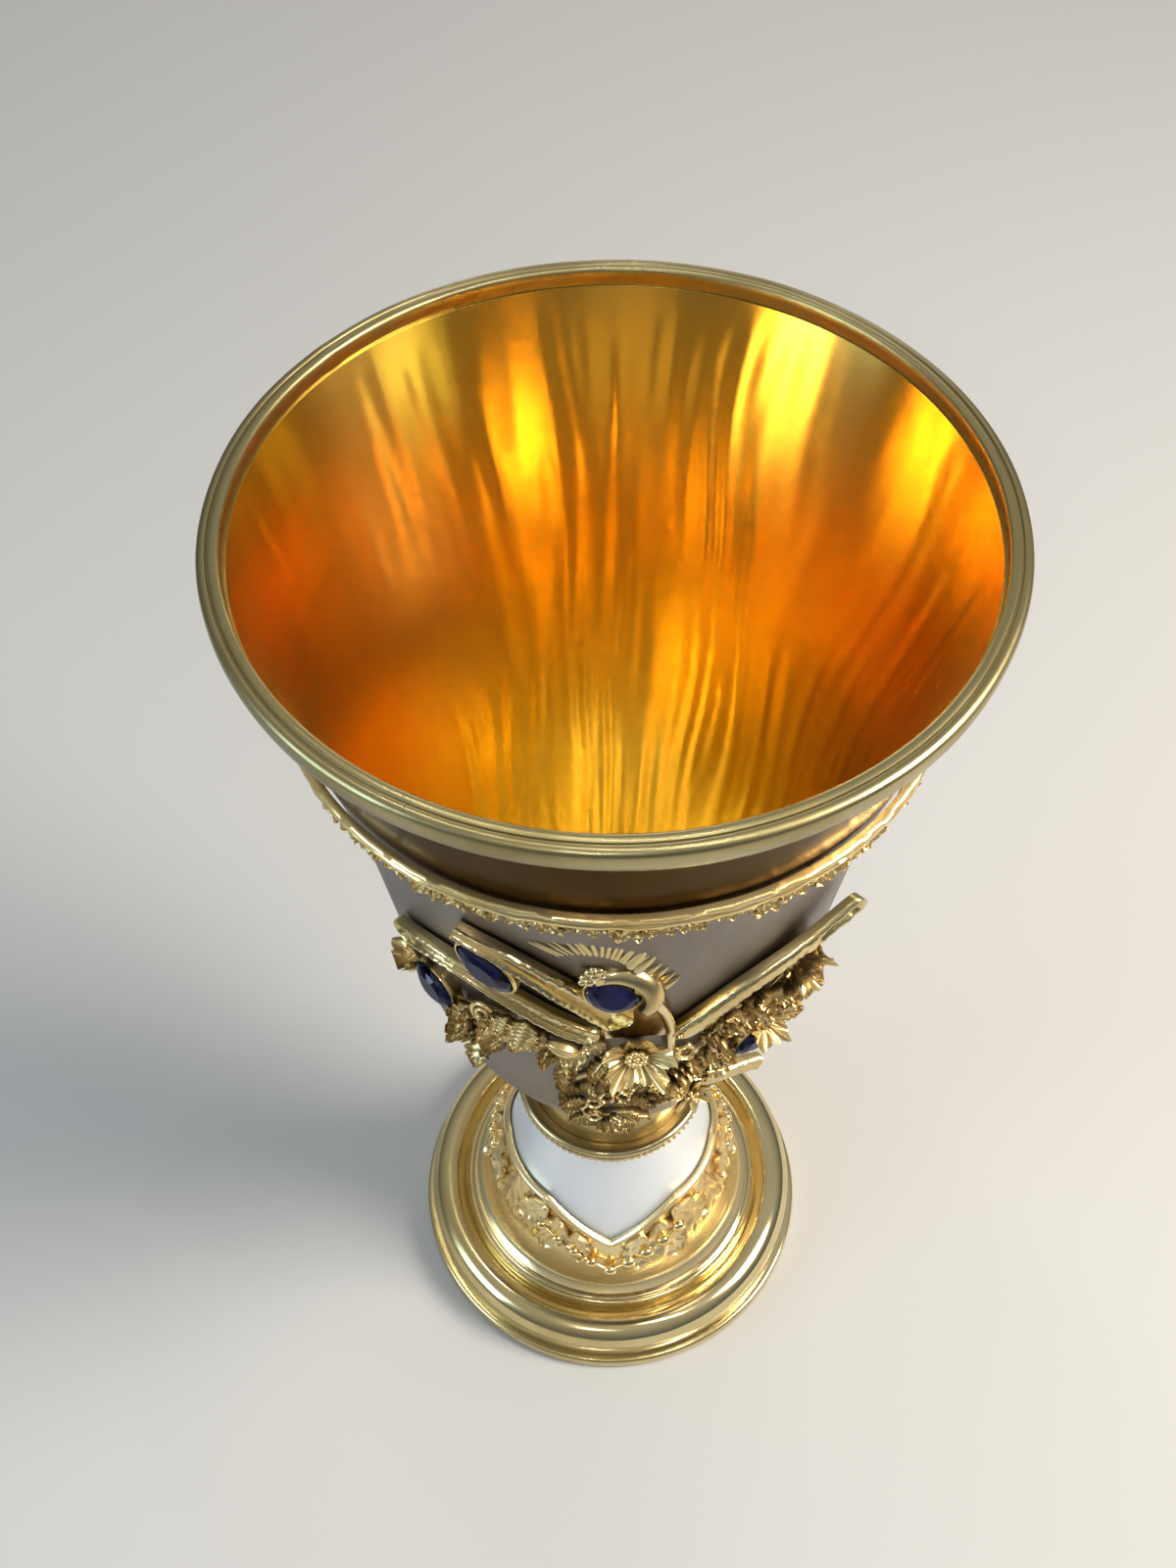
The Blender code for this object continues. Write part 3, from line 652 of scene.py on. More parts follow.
# Neck ring
# The ring at the neck's foot: a plain rounded band above a rope of slanting beads, with a
# dark line between them. Cast in one and soldered all round to the foot of the neck.
ring_gilt = metal_finish("ring_gilt", ((0.70, 0.58, 0.33), (0.50, 0.39, 0.19), (0.08, 0.05, 0.02)),
                         120.0, (0.14, 0.28), (1500.0, 300.0), 0.000014)
ring_base = stem_radius(0.0) + 0.0003
ring_outline = [(ring_base, STEM_Z), (ring_base + 0.0005, STEM_Z), (ring_base + 0.00055, STEM_Z + 0.0014),
                *arc((ring_base + 0.00045, STEM_Z + 0.0024), 0.00062, -75, 90, 10),
                (ring_base, STEM_Z + 0.0030), (stem_radius(0.0027) + 0.00008, STEM_Z + 0.0027)]
slanting_bead = helper("slanting_bead", ball((0.00036, 0.00085, 0.00052)))
rope_line = [about(tau * i / 144, ring_base + 0.00052, STEM_Z + 0.00086) for i in range(144)]
rope = repeated(rope_line, True, slanting_bead, ring_gilt, 84, (0.92, 1.0), (28.0, 4.0), seed=5)
make_piece("neck_ring", gather([around_axis(ring_outline, 144), rope]), [ring_gilt], 60.0,
           "polished_gilt", "stem_ring")
bpy.data.objects.remove(slanting_bead)


# Bowl
# The cup raised from one sheet of silver. Outside it is satin and slightly tarnished up to
# the leaf collar, gilt and polished above that, and both are coloured far darker than silver and
# gold as painted shade for the dim room they reflect; inside it is gilt all over, and the
# hammered wall ripples, so it throws long wavy streaks of light.
BOWL_Z = 0.0560
BOWL_HEIGHT = 0.1005
BOWL_BASE_RADIUS = 0.0088
BOWL_WAIST_RADIUS = 0.0296
BOWL_MOUTH_RADIUS = 0.0387
BOWL_WALL = 0.0014
BOWL_FLOOR = 0.0030
BOWL_TAPER = 0.125
WAIST_SHARE = 0.637
ROUND_SHARE = 0.338
COLLAR_SHARE = 0.832
RIPPLES = (  # waves round the cup, their height, how far they swing sideways, seed
    (19.0, 0.000028, 2.6, 7.7), (41.0, 0.000044, 4.2, 1.3), (71.0, 0.000026, 5.0, 4.1))


def wall_radius(height):
    """The bowl's outer radius at a height above its own bottom."""
    waist = WAIST_SHARE * BOWL_HEIGHT
    straight = BOWL_WAIST_RADIUS + BOWL_TAPER * (height - waist)
    turn_in = straight - BOWL_TAPER * height - BOWL_BASE_RADIUS
    up = min(max(height / (ROUND_SHARE * BOWL_HEIGHT), 0.0), 1.0)
    flare = BOWL_MOUTH_RADIUS - BOWL_WAIST_RADIUS - BOWL_TAPER * (BOWL_HEIGHT - waist)
    out = max(height - waist, 0.0) / (BOWL_HEIGHT - waist)
    return straight - turn_in * (1.0 - sqrt(1.0 - (1.0 - up) ** 2)) + flare * out ** 1.6


def bowl_point(spot, right, up, out):
    """A point near a spot (azimuth in degrees, share of the bowl's height), out from its wall."""
    height = spot[1] * BOWL_HEIGHT + up
    radius = wall_radius(height)
    angle = radians(spot[0]) + right / radius
    return about(angle, radius + out, BOWL_Z + height)


def inner_ripple(angle, share):
    """How far the hammered inside departs from a true wall, in metres."""
    spot = Vector((1.7 * sin(angle), 1.7 * cos(angle), 2.2 * share))
    drift = 1.6 * noise.noise(spot * 1.3 + Vector((3.1, 0.0, 0.0)))
    waves = 0.0
    for turns, size, swing, seed in RIPPLES:
        strength = max(0.45 + 1.2 * noise.noise(spot * 2.4 + Vector((0.0, seed, 0.0))), 0.10)
        waves += size * strength * sin(turns * angle + swing * drift)
    broad = 0.00010 * noise.noise(spot * 1.1 + Vector((0.0, 0.0, 5.5)))
    fade = min(max((share - 0.04) / 0.12, 0.0), 1.0) * min(max((1.0 - share) / 0.06, 0.0), 1.0)
    return fade * (waves + broad)


def satin_silver():
    material, tree, shader = new_material("satin_silver")
    place = own_place(tree)
    tarnish = cloudy(tree, place, 42.0, 6.0)
    # painted shade: both tones are kept far darker than silver, for the dim room the satin wall reflects;
    # the noise between them is uneven tarnish
    tone = two_tone(tree, tarnish, (0.17, 0.143, 0.123), (0.27, 0.232, 0.20), 0.28, 0.72)
    stretch = add_node(tree, "ShaderNodeMapping", {"Scale": (900.0, 900.0, 40.0), "Vector": place})
    brushed = cloudy(tree, stretch, 1.0, 3.0)
    dull = add_node(tree, "ShaderNodeMapRange", {"To Min": 0.34, "To Max": 0.48, "Value": brushed})
    both = calc(tree, "ADD", cloudy(tree, place, 5200.0), brushed)
    feed(shader, {"Metallic": 1.0, "Base Color": tone, "Roughness": dull,
                  "Normal": bumped(tree, both, 0.5, 0.00003)})
    return material


def inside_gilding():
    """Deep gilding with upright polishing lines, and painted shade that makes it redder and darker towards
    the mouth.
    """
    inside = metal_finish("inside_gilding", ((0.90, 0.725, 0.26), (0.88, 0.675, 0.18), (0.45, 0.2, 0.05)),
                          28.0, (0.15, 0.22), (420.0, 220.0), 0.000008)
    tree = inside.node_tree
    shader = tree.nodes["Principled BSDF"]
    height = add_node(tree, "ShaderNodeSeparateXYZ", {0: own_place(tree)}).outputs["Z"]
    # painted shade: towards the mouth, where the wall reflects the dim room more than other gilding, the
    # colour is mixed towards a dark red-brown
    mouth_shade = add_node(tree, "ShaderNodeMapRange", interpolation_type="SMOOTHSTEP")
    feed(mouth_shade, {"From Min": 0.085, "From Max": 0.155, "To Min": 0.0, "To Max": 0.60, "Value": height})
    gilt = shader.inputs["Base Color"].links[0].from_socket
    feed(shader, {"Anisotropic": 0.85, "Tangent": add_node(tree, "ShaderNodeCombineXYZ", {"Z": 1.0}),
                  "Base Color": mixed(tree, "RGBA", mouth_shade, gilt, (0.72, 0.42, 0.08, 1.0))})
    return inside


def make_bowl():
    outer_levels, inner_levels, steps = 50, 84, 560
    satin, inside, polished = range(3)
    outline = [(0.0, 0.0, satin, False)]
    for i in range(outer_levels + 1):
        share = (i / outer_levels) ** 1.25
        kind = polished if share > COLLAR_SHARE else satin
        outline.append((wall_radius(share * BOWL_HEIGHT), share, kind, False))
    for i in range(inner_levels + 1):
        share = 1.0 - (i / inner_levels) * (1.0 - 0.075)
        outline.append((wall_radius(share * BOWL_HEIGHT) - BOWL_WALL, share, inside, True))
    low = outline[-1]
    floor_share = BOWL_FLOOR / BOWL_HEIGHT
    for i in range(1, 11):
        turn = pi / 2 * i / 10
        share = floor_share + (low[1] - floor_share) * (1.0 - sin(turn))
        outline.append((low[0] * cos(turn), share, inside, False))
    points, faces, kinds = [], [], []
    count = len(outline)
    for i in range(steps):
        angle = tau * i / steps
        here, there = i * count, (i + 1) % steps * count
        for k, (radius, share, kind, rippled) in enumerate(outline):
            out = radius + (inner_ripple(angle, share) if rippled else 0.0)
            points.append(about(angle, out, BOWL_Z + share * BOWL_HEIGHT))
            if k:
                faces.append((here + k - 1, here + k, there + k, there + k - 1))
                kinds.append(kind)
    # painted shade: the gilt band's tones are kept near black, for the dim room it reflects
    band = metal_finish("band_gilding_painted_shade", ((0.052, 0.033, 0.019), (0.034, 0.021, 0.012), (0.1, 0.06, 0.02)),
                        50.0, (0.16, 0.28), (1500.0, 120.0), 0.00001)
    feed(band.node_tree.nodes["Principled BSDF"], {"Specular Tint": (0.60, 0.52, 0.45, 1.0)})
    make_piece("cup_bowl", (points, faces), [satin_silver(), inside_gilding(), band], 60.0,
               "satin_silver", "bowl", kinds=kinds)


make_bowl()


# Lip
# The gilt wire soldered round the mouth: a broad flat top with a line near its outer edge,
# which rolls over; the line is a shallow groove darkened with painted shade. Its joint is a small
# lump on the left, and use has worn it dull and pale.
LIP_Z = 0.15655
LIP_TOP = 0.1587
JOINT_AZIMUTH = 232.0
lip_gilt = metal_finish("lip_gilt", ((0.44, 0.37, 0.185), (0.30, 0.24, 0.105), (0.12, 0.10, 0.045)),
                        90.0, (0.26, 0.42), (2600.0, 260.0), 0.000016)


def lip_unevenness(radius, height, angle):
    """The ring's slight wander and the lump at its joint."""
    wander = 0.00005 * noise.noise(Vector((3.0 * sin(angle), 3.0 * cos(angle), 9.0)))
    lump = 0.00012 * exp(-((degrees(angle) - JOINT_AZIMUTH) / 1.6) ** 2)
    rise = wander + lump - 0.00012 if height > LIP_Z + 0.0008 else 0.0
    return min(radius + wander - lump * 0.5, 0.03999), min(height + rise, LIP_TOP)


lip_outline = [(0.03752, LIP_Z), (0.0390, LIP_Z), (0.0390, 0.1554), (0.0394, 0.1554), (0.0396, 0.1557),
               (0.03982, 0.1566), (0.0399, 0.1574), (0.03988, 0.1579), (0.03972, 0.15828),
               (0.0394, 0.15848), (0.0391, 0.15854), (0.03896, 0.15851), (0.03886, 0.15836),
               (0.03874, 0.15838), (0.03864, 0.15858), (0.0384, 0.15866), (0.0381, 0.15868),
               (0.03785, 0.15864), (0.03768, 0.1585), (0.03758, 0.1582), (0.03754, 0.1577)]
lip_points, lip_faces = around_axis(lip_outline, 288, lip_unevenness)
# painted shade along the groove near the outer edge of the top
groove_painted_shade = [0.5 * max(0.0, 1.0 - abs(hypot(x, y) - 0.0388) / 0.00022) * (z > 0.1578)
             for x, y, z in lip_points]
make_piece("lip_ring", (lip_points, lip_faces, groove_painted_shade), [lip_gilt], 40.0, "polished_gilt", "rim_ring")


# Leaf collar
# A gilt wire round the bowl with a line along it, and small cast sprigs of uneven size
# trailing from its lower edge, soldered on one by one.
COLLAR_WIRE = 0.0022
COLLAR_THICKNESS = 0.0014
cast_gilt = metal_finish("cast_gilt", ((0.98, 0.77, 0.37), (0.78, 0.56, 0.22), (0.15, 0.08, 0.026)),
                         180.0, (0.17, 0.30), (1200.0, 600.0), 0.00002, 0.82)
polished_gilt = metal_finish("strap_gilt", ((0.86, 0.71, 0.38), (0.66, 0.51, 0.23), (0.10, 0.06, 0.022)),
                             90.0, (0.13, 0.27), (1400.0, 420.0), 0.00002)
COLLAR_SPRIGS = (  # the leaves of each kind of sprig: angle, length
    ((64.0, 0.0030), (10.0, 0.0020)), ((-56.0, 0.0026), (-4.0, 0.0022), (44.0, 0.0014)),
    ((32.0, 0.0021), (-40.0, 0.0019), (80.0, 0.0022)))
COLLAR_SECTION = (  # up, out
    (-0.98, 0.0), (-0.94, 0.45), (-0.78, 0.78), (-0.58, 0.86), (-0.38, 0.70), (-0.26, 0.52), (-0.14, 0.58),
    (0.06, 0.90), (0.30, 1.0), (0.56, 0.95), (0.80, 0.66), (0.95, 0.3), (1.0, 0.0))
COLLAR_STEPS = 432


def sprig(members):
    """A small cast sprig: leaves at their own angles from a bud at the root."""
    parts = [moved(ball((0.00050, 0.00042, 0.00045), 5, 8), 0.0, -0.0001, 0.0003)]
    for angle, size in members:
        points, faces, hollow = leaf(size, 0.40 * size, 3, 0.00050, 0.24, 0.10, 12, 6)
        parts.append(([(*spun(x, y, 180.0 + angle), z) for x, y, z in points], faces, hollow))
    return gather(parts)


collar_points = []
for i in range(COLLAR_STEPS):
    azimuth = 360.0 * i / COLLAR_STEPS
    for up, out in COLLAR_SECTION:
        uneven = 1.0 + 0.16 * noise.noise(Vector((0.30 * azimuth, 1.4 * up, 2.0)))
        sway = 0.00012 * noise.noise(Vector((0.11 * azimuth, 4.0, 1.0)))
        collar_points.append(bowl_point((azimuth, COLLAR_SHARE), 0.0, sway - up * COLLAR_WIRE / 2,
                                        0.0003 + out * uneven * COLLAR_THICKNESS * 0.86))
collar_parts = [(collar_points, skin(len(COLLAR_SECTION), COLLAR_STEPS, closed=True))]
for number, members in enumerate(COLLAR_SPRIGS):
    shape = helper("collar_sprig", sprig(members))
    line = [bowl_point((3.75 * number + 360.0 * i / 144, COLLAR_SHARE), 0.0, -COLLAR_WIRE * 0.50, 0.0006)
            for i in range(144)]
    collar_parts.append(repeated(line, True, shape, cast_gilt, 32, (0.70, 1.15), (0.0, 24.0), 11 + number))
    bpy.data.objects.remove(shape)
make_piece("hanging_leaf_collar", gather(collar_parts), [cast_gilt], 60.0, "cast_gilt", "leaf_collar")


# Straps
# The channelled gilt ribbons soldered on both sides of the bowl: a broad rounded ridge beside
# a thin one, with a groove between that opens towards the free end. The strap above the upper
# stone is a flat band with raised borders, and the lowest one is plain and square-ended.
STRAP_THICKNESS = 0.0015
STRAP_WIDTH = 0.0036
SIDES = {"front": 0.0, "back": 180.0}
THIN_RIDGE = ((0.0, 0.92), (0.22, 0.80), (0.34, 0.50), (0.42, 0.25), (0.54, 0.25), (0.62, 0.55),
              (0.72, 0.92), (0.84, 1.0), (0.94, 0.85), (1.0, 0.45))
BROAD_RIDGE = ((0.0, 0.92), (0.30, 1.0), (0.60, 0.97), (0.80, 0.84), (0.93, 0.62), (1.0, 0.35))
FLAT_FIELD = ((0.0, 0.72), (0.30, 0.70), (0.62, 0.70), (0.76, 0.88), (0.88, 0.92), (0.95, 0.78), (1.0, 0.45))
BORDER = ((0.0, 0.42), (0.60, 0.42), (0.70, 0.78), (0.82, 1.0), (0.94, 0.90), (1.0, 0.5))
CHANNEL = ((0.0, 0.22), (0.48, 0.22), (0.60, 0.50), (0.74, 0.95), (0.86, 1.0), (0.95, 0.85), (1.0, 0.45))
PLAIN = ((0.0, 1.0), (0.50, 0.97), (0.85, 0.84), (1.0, 0.55))
STRAPS = {  # stops, width, lift at the far end, section on each side of the middle, roundness, opening
    "rising_strap": (((14.5, 0.495), (28.0, 0.569), (41.5, 0.603), (55.5, 0.631)),
                     STRAP_WIDTH, 0.0022, THIN_RIDGE, BROAD_RIDGE, 2.2, 0.62),
    "falling_strap": (((-3.0, 0.510), (-11.5, 0.538), (-21.0, 0.575), (-31.5, 0.600), (-41.5, 0.596),
                       (-51.5, 0.568)), STRAP_WIDTH, 0.0, THIN_RIDGE, FLAT_FIELD, 2.0, 0.85),
    "upper_strap": (((2.0, 0.552), (-6.3, 0.608), (-14.2, 0.655), (-22.0, 0.691), (-30.0, 0.707)),
                    STRAP_WIDTH, 0.0, BORDER, BORDER, 6.0, 1.0),
    "lower_strap": (((19.5, 0.325), (30.0, 0.312), (41.0, 0.296)), 0.0029, 0.0012, PLAIN, PLAIN, 6.0, 1.0),
}


def along(stops, share):
    """A point on the smooth curve through a strap's stops, at a share of its run."""
    place = min(max(share, 0.0), 1.0) * (len(stops) - 1)
    i = min(int(place), len(stops) - 2)
    t = place - i
    before, start, end, after = (stops[max(min(k, len(stops) - 1), 0)] for k in (i - 1, i, i + 1, i + 2))
    return [0.5 * (2 * b + (c - a) * t + (2 * a - 5 * b + 4 * c - d) * t * t
                   + (3 * b - a - 3 * c + d) * t ** 3) for a, b, c, d in zip(before, start, end, after)]


def height_at(section, place):
    for (near, low), (far, high) in zip(section, section[1:]):
        if place <= far:
            return low + (high - low) * (place - near) / (far - near)
    return section[-1][1]


def strap(name, stops, turned, width, lift, first, second, square, opening):
    """A ribbon along its stops; its section wraps round the rounded ends."""
    steps, across_steps = 110, 40
    flare = 0.75 if name == "rising_strap" else 0.0
    line = [bowl_point(along(stops, i / 60), 0, 0, 0) for i in range(61)]
    length = sum(dist(here, there) for here, there in zip(line, line[1:]))
    reach = 0.5 * width / length * (1.0 if square < 3.0 else 0.35)
    shares = [reach * (1.0 - cos(pi / 2 * i / 8)) for i in range(9)]
    shares += [reach + (1.0 - 2.0 * reach) * i / steps for i in range(1, steps)]
    shares += [1.0 - share for share in shares[:9][::-1]]
    points, hollow = [], []
    for share in shares:
        here = along(stops, share)
        low, high = along(stops, share - 0.02), along(stops, share + 0.02)
        run = radians(high[0] - low[0]) * wall_radius(here[1] * BOWL_HEIGHT)
        rise = (high[1] - low[1]) * BOWL_HEIGHT
        size = hypot(run, rise)
        end = max(reach - share, share - 1.0 + reach, 0.0) / reach
        shrink = max(1.0 - end ** square, 0.0004) ** (1.0 / square)
        away = 0.0003 + lift * share ** 3
        spot = (here[0] + turned, here[1])
        opened = min(max((share - opening) / 0.25, 0.0), 1.0)
        rows = []
        for k in range(across_steps + 1):
            t = 2.0 * k / across_steps - 1.0
            from_middle = min((end ** square + abs(t * shrink) ** square) ** (1.0 / square), 1.0)
            mix = min(max(0.5 + 1.2 * t * shrink / max(from_middle, 0.001), 0.0), 1.0)
            tall = height_at(second, from_middle) * (1.0 - mix) + height_at(first, from_middle) * mix
            tall += opened * (height_at(CHANNEL, from_middle) - tall)
            nick = 1.0 + 0.10 * noise.noise(Vector((here[0] * 1.3, 2.0 * t, 4.0)))
            # painted shade in the low parts of the section; the two bottom edges added next get half painted
            # shade
            rows.append((t, tall * nick, min(max((0.50 - tall) * 3.0, 0.0), 1.0)))
        rows += [(1.0, 0.0, 0.5), (-1.0, 0.0, 0.5)]
        for t, tall, dark in rows:
            offset = 0.5 * t * width * shrink * (1.0 + flare * share ** 2)
            points.append(bowl_point(spot, -offset * rise / size, offset * run / size,
                                     away + min(tall, 1.1) * STRAP_THICKNESS))
            hollow.append(dark)
    return points, skin(across_steps + 3, len(shares)), hollow


for side, turned in SIDES.items():
    for name, (stops, *shape) in STRAPS.items():
        make_piece(f"{name.replace('strap', 'ribbon')}_{side}", strap(name, stops, turned, *shape),
                   [polished_gilt], 50.0, "polished_gilt", f"{name}_{side}")


# Blue stones
# Cut dark blue stones, two marquises and two ovals on each side of the bowl, each sunk in a
# gilt box setting with a rubbed-over lip. The middle one leans out to face upwards.
STONES = {  # azimuth and share of the height, length, width, tilt, lean, power of the outline
    "upper": ((-25.0, 0.640), 0.0072, 0.0037, -36.0, 14.0, 1.9),
    "left": ((-43.5, 0.485), 0.0064, 0.0038, -30.0, 16.0, 1.7),
    "right": ((37.2, 0.388), 0.0058, 0.0036, 12.0, 10.0, 1.7),
}


def placed(part, spot, turned, tilt, lean, lift):
    """Sets a flat-made shape on the bowl, turned by tilt, its foot leaned out, never through the wall."""
    turn = Matrix.Rotation(radians(-lean), 3, "X") @ Matrix.Rotation(radians(tilt), 3, "Z")
    points = []
    for point in part[0]:
        x, y, z = turn @ Vector(point)
        points.append(bowl_point((spot[0] + turned, spot[1]), x, y, max(lift + z, -0.0005)))
    return (points, *part[1:])


def oval(length, width, angle, power):
    """Reach of a pointed oval at an angle from its long axis."""
    across = (abs(cos(angle)) / length) ** power + (abs(sin(angle)) / width) ** power
    return 0.5 / across ** (1.0 / power)


def cut_stone(length, width, height, power):
    """A faceted stone with its table up."""
    sectors = 16
    points = []
    for share, up, shift in ((0.55, -0.35, 0.0), (1.0, 0.38, 0.0), (0.84, 0.74, 0.5), (0.56, 1.0, 0.0)):
        for i in range(sectors):
            angle = tau * (i + shift) / sectors
            points.append(circle_point(angle, share * oval(length, width, angle, power), up * height))
    faces = [tuple(range(sectors)), tuple(range(3 * sectors, 4 * sectors))]
    for i in range(sectors):
        j = (i + 1) % sectors
        a, b, c, d = (ring * sectors for ring in range(4))
        faces += [(a + i, a + j, b + j, b + i), (b + i, b + j, c + i), (c + i, b + j, c + j),
                  (c + i, d + j, d + i), (c + i, c + j, d + j)]
    return points, faces


def blue_stone():
    """Near-opaque dark blue, with a painted lighter blue glow that changes from facet to facet."""
    material, tree, shader = new_material("blue_stone")
    place = own_place(tree)
    facets = add_node(tree, "ShaderNodeTexVoronoi", {"Scale": 900.0, "Vector": place})
    split = add_node(tree, "ShaderNodeSeparateColor", {0: facets.outputs["Color"]})
    # painted light: lighter blue in scattered cells stands in for light thrown back from inside the stone,
    # which is opaque here
    painted_glow = two_tone(tree, split, (0.0005, 0.0008, 0.008), (0.002, 0.003, 0.055), 0.0, 0.9)
    feed(shader, {"Metallic": 0.0, "IOR": 1.77, "Specular IOR Level": 0.28, "Roughness": 0.04,
                  "Transmission Weight": 0.0, "Base Color": painted_glow})
    return material


def box_setting(length, width, rise, margin, power):
    """The wall and rubbed-over lip round one stone, closed underneath."""
    sectors, flare = 48, 0.0002
    levels = ((margin + flare, -0.0002), (margin + 0.5 * flare, 0.5 * rise), (margin, 0.92 * rise),
              (margin * 0.72, rise), (margin * 0.3, 0.98 * rise), (0.00003, 0.82 * rise), (0.00003, 0.0003))
    points, hollow = [], []
    for reach_out, out in levels:
        for i in range(sectors):
            angle = tau * i / sectors
            points.append(circle_point(angle, oval(length, width, angle, power) + reach_out, out))
            # painted shade on the closed underside
            hollow.append(0.7 if out == 0.0003 else 0.0)
    return points, skin(sectors, len(levels)), hollow


sapphire = blue_stone()
for side, turned in SIDES.items():
    for name, (spot, length, width, tilt, lean, power) in STONES.items():
        stone = placed(cut_stone(length, width, 0.0012, power), spot, turned, tilt, lean, 0.0013)
        make_piece(f"blue_stone_{name}_{side}", stone, [sapphire], 4.0, "blue_stone", f"stone_{name}_{side}")
        box = placed(box_setting(length, width, 0.0014, 0.0004, power), spot, turned, tilt, lean, 0.0004)
        make_piece(f"box_setting_{name}_{side}", box, [polished_gilt], 50.0,
                   "polished_gilt", f"bezel_{name}_{side}")


# Middle stone and its arch
# The middle stone leans out of a wide rounded gilt collar that is open below, gripped by a
# knobbed claw at its upper left. A thick round wire runs from it down to the big flower, and
# a smooth dished plate fills the field that they enclose.
MIDDLE_STONE = (0.4, 0.636)
MIDDLE_LENGTH, MIDDLE_WIDTH, MIDDLE_POWER = 0.0056, 0.0043, 1.8
MIDDLE_TILT, MIDDLE_LEAN = -8.0, 30.0
ARCH_WIRE = ((4.6, 0.648), (6.4, 0.632), (8.9, 0.602), (11.1, 0.570), (12.7, 0.528), (13.5, 0.474),
             (13.9, 0.440))
CLAW_KNOBS = ((-0.0020, 0.0038, 0.00062), (-0.0029, 0.0034, 0.00062), (-0.0023, 0.0030, 0.0007),
              (-0.0033, 0.0026, 0.00058), (-0.0027, 0.0022, 0.00066), (-0.0015, 0.0029, 0.00055),
              (-0.0026, 0.0039, 0.00045), (-0.0034, 0.0019, 0.00045))


def wide_collar():
    """The rounded collar over the middle stone, open below."""
    sectors = 44
    levels = ((0.0023, -0.0020), (0.0026, 0.0000), (0.0022, 0.0010), (0.0012, 0.0016), (0.0003, 0.0015),
              (0.00005, 0.0006), (0.00005, -0.0014))
    points = []
    for i in range(sectors + 1):
        angle = radians(-24.0 + 158.0 * i / sectors)
        fade = sin(pi * (0.08 + 0.84 * i / sectors)) ** 0.4
        base = oval(MIDDLE_LENGTH, MIDDLE_WIDTH, angle, MIDDLE_POWER) + 0.0001
        swell = 0.30 + 0.70 * fade
        points += [circle_point(angle, base + reach_out * swell, out) for reach_out, out in levels]
    return points, skin(len(levels), sectors + 1)


def dished_plate(turned):
    """The smooth plate in the field under the arch."""
    rows, columns = 14, 16
    points, hollow = [], []
    for i in range(rows + 1):
        v = i / rows
        section = []
        for k in range(columns + 1):
            u = k / columns
            spot = (-2.4 + 1.6 * v + (14.4 - 3.6 * v ** 2.0) * u + turned, 0.500 + 0.118 * v)
            dish = 0.0009 - 0.0006 * sin(pi * u) * sin(pi * (0.15 + 0.7 * v))
            # painted shade growing across the plate towards its right end, and strong on its underside
            section.append((bowl_point(spot, 0.0, 0.0, dish), bowl_point(spot, 0.0, 0.0, 0.0002), 0.25 * u))
        points += [top for top, under, dark in section] + [under for top, under, dark in section[::-1]]
        hollow += [dark for top, under, dark in section] + [0.8] * len(section)
    count = 2 * (columns + 1)
    faces = skin(count, rows + 1, caps=())
    for end in (0, rows * count):
        faces += [(end + k, end + k + 1, end + count - 2 - k, end + count - 1 - k) for k in range(columns)]
    return points, faces, hollow


def wall_line(stops, turned, steps, out, start=0.0, end=1.0):
    """Points along a curve through spots of the bowl, out from its wall."""
    line = []
    for i in range(steps + 1):
        azimuth, share = along(stops, start + (end - start) * i / steps)
        line.append(bowl_point((azimuth + turned, share), 0.0, 0.0, out))
    return line


for side, turned in SIDES.items():
    pose = (MIDDLE_STONE, turned, MIDDLE_TILT, MIDDLE_LEAN)
    stone = placed(cut_stone(MIDDLE_LENGTH, MIDDLE_WIDTH, 0.0013, MIDDLE_POWER), *pose, 0.0013)
    make_piece(f"blue_stone_middle_{side}", stone, [sapphire], 4.0, "blue_stone", f"stone_middle_{side}")
    setting = box_setting(MIDDLE_LENGTH, MIDDLE_WIDTH, 0.0008, 0.0003, MIDDLE_POWER)
    arch_parts = [placed(wide_collar(), *pose, 0.0013), placed(setting, *pose, 0.0009)]
    for x, y, size in CLAW_KNOBS:
        knob = moved(ball((size, size, 0.8 * size), 6, 10), x, y, 0.0012)
        arch_parts.append(placed(knob, *pose, 0.0013))
    arch_wire = wall_line(ARCH_WIRE, turned, 48, 0.00105)
    arch_parts.append(tube(arch_wire, [0.00074 - 0.00016 * i / 48 for i in range(49)], 12))
    arch_parts.append(dished_plate(turned))
    make_piece(f"stone_arch_wire_{side}", gather(arch_parts), [polished_gilt], 50.0,
               "polished_gilt", f"stone_arch_{side}")


# Feather barbs
# A row of barbs spreads over the middle stone's collar: shallow strokes on the left that grow
# to raised gilt fingers on the right.
FAN_ROOTS = ((-9.6, 0.712), (-6.4, 0.722), (-2.6, 0.722), (0.6, 0.712), (3.4, 0.692), (5.8, 0.666),
             (8.0, 0.640), (9.8, 0.612))
BARBS = (  # start and end of the row, how many, length, width, height, slant
    (0.0, 0.60, 17, 0.0034, 0.00024, 0.00022, 26.0), (0.58, 0.97, 6, 0.0036, 0.00056, 0.00050, 30.0))
# section across a barb: across, up, and painted shade at its edges
BARB_SECTION = ((-1.0, 0.0, 0.5), (-0.6, 0.75, 0.0), (0.0, 1.0, 0.0), (0.6, 0.75, 0.0), (1.0, 0.0, 0.5))


def barb(length, width, height):
    """One tapering barb with its root at the origin and its tip along +Y."""
    points, hollow = [], []
    for i in range(7):
        v = i / 6
        half = width * (1.0 - v ** 4.0) + 0.00004
        for x, z, dark in BARB_SECTION:
            points.append((x * half, length * v, z * height * (1.0 - 0.75 * v * v)))
            hollow.append(dark)
    return points, skin(5, 7), hollow


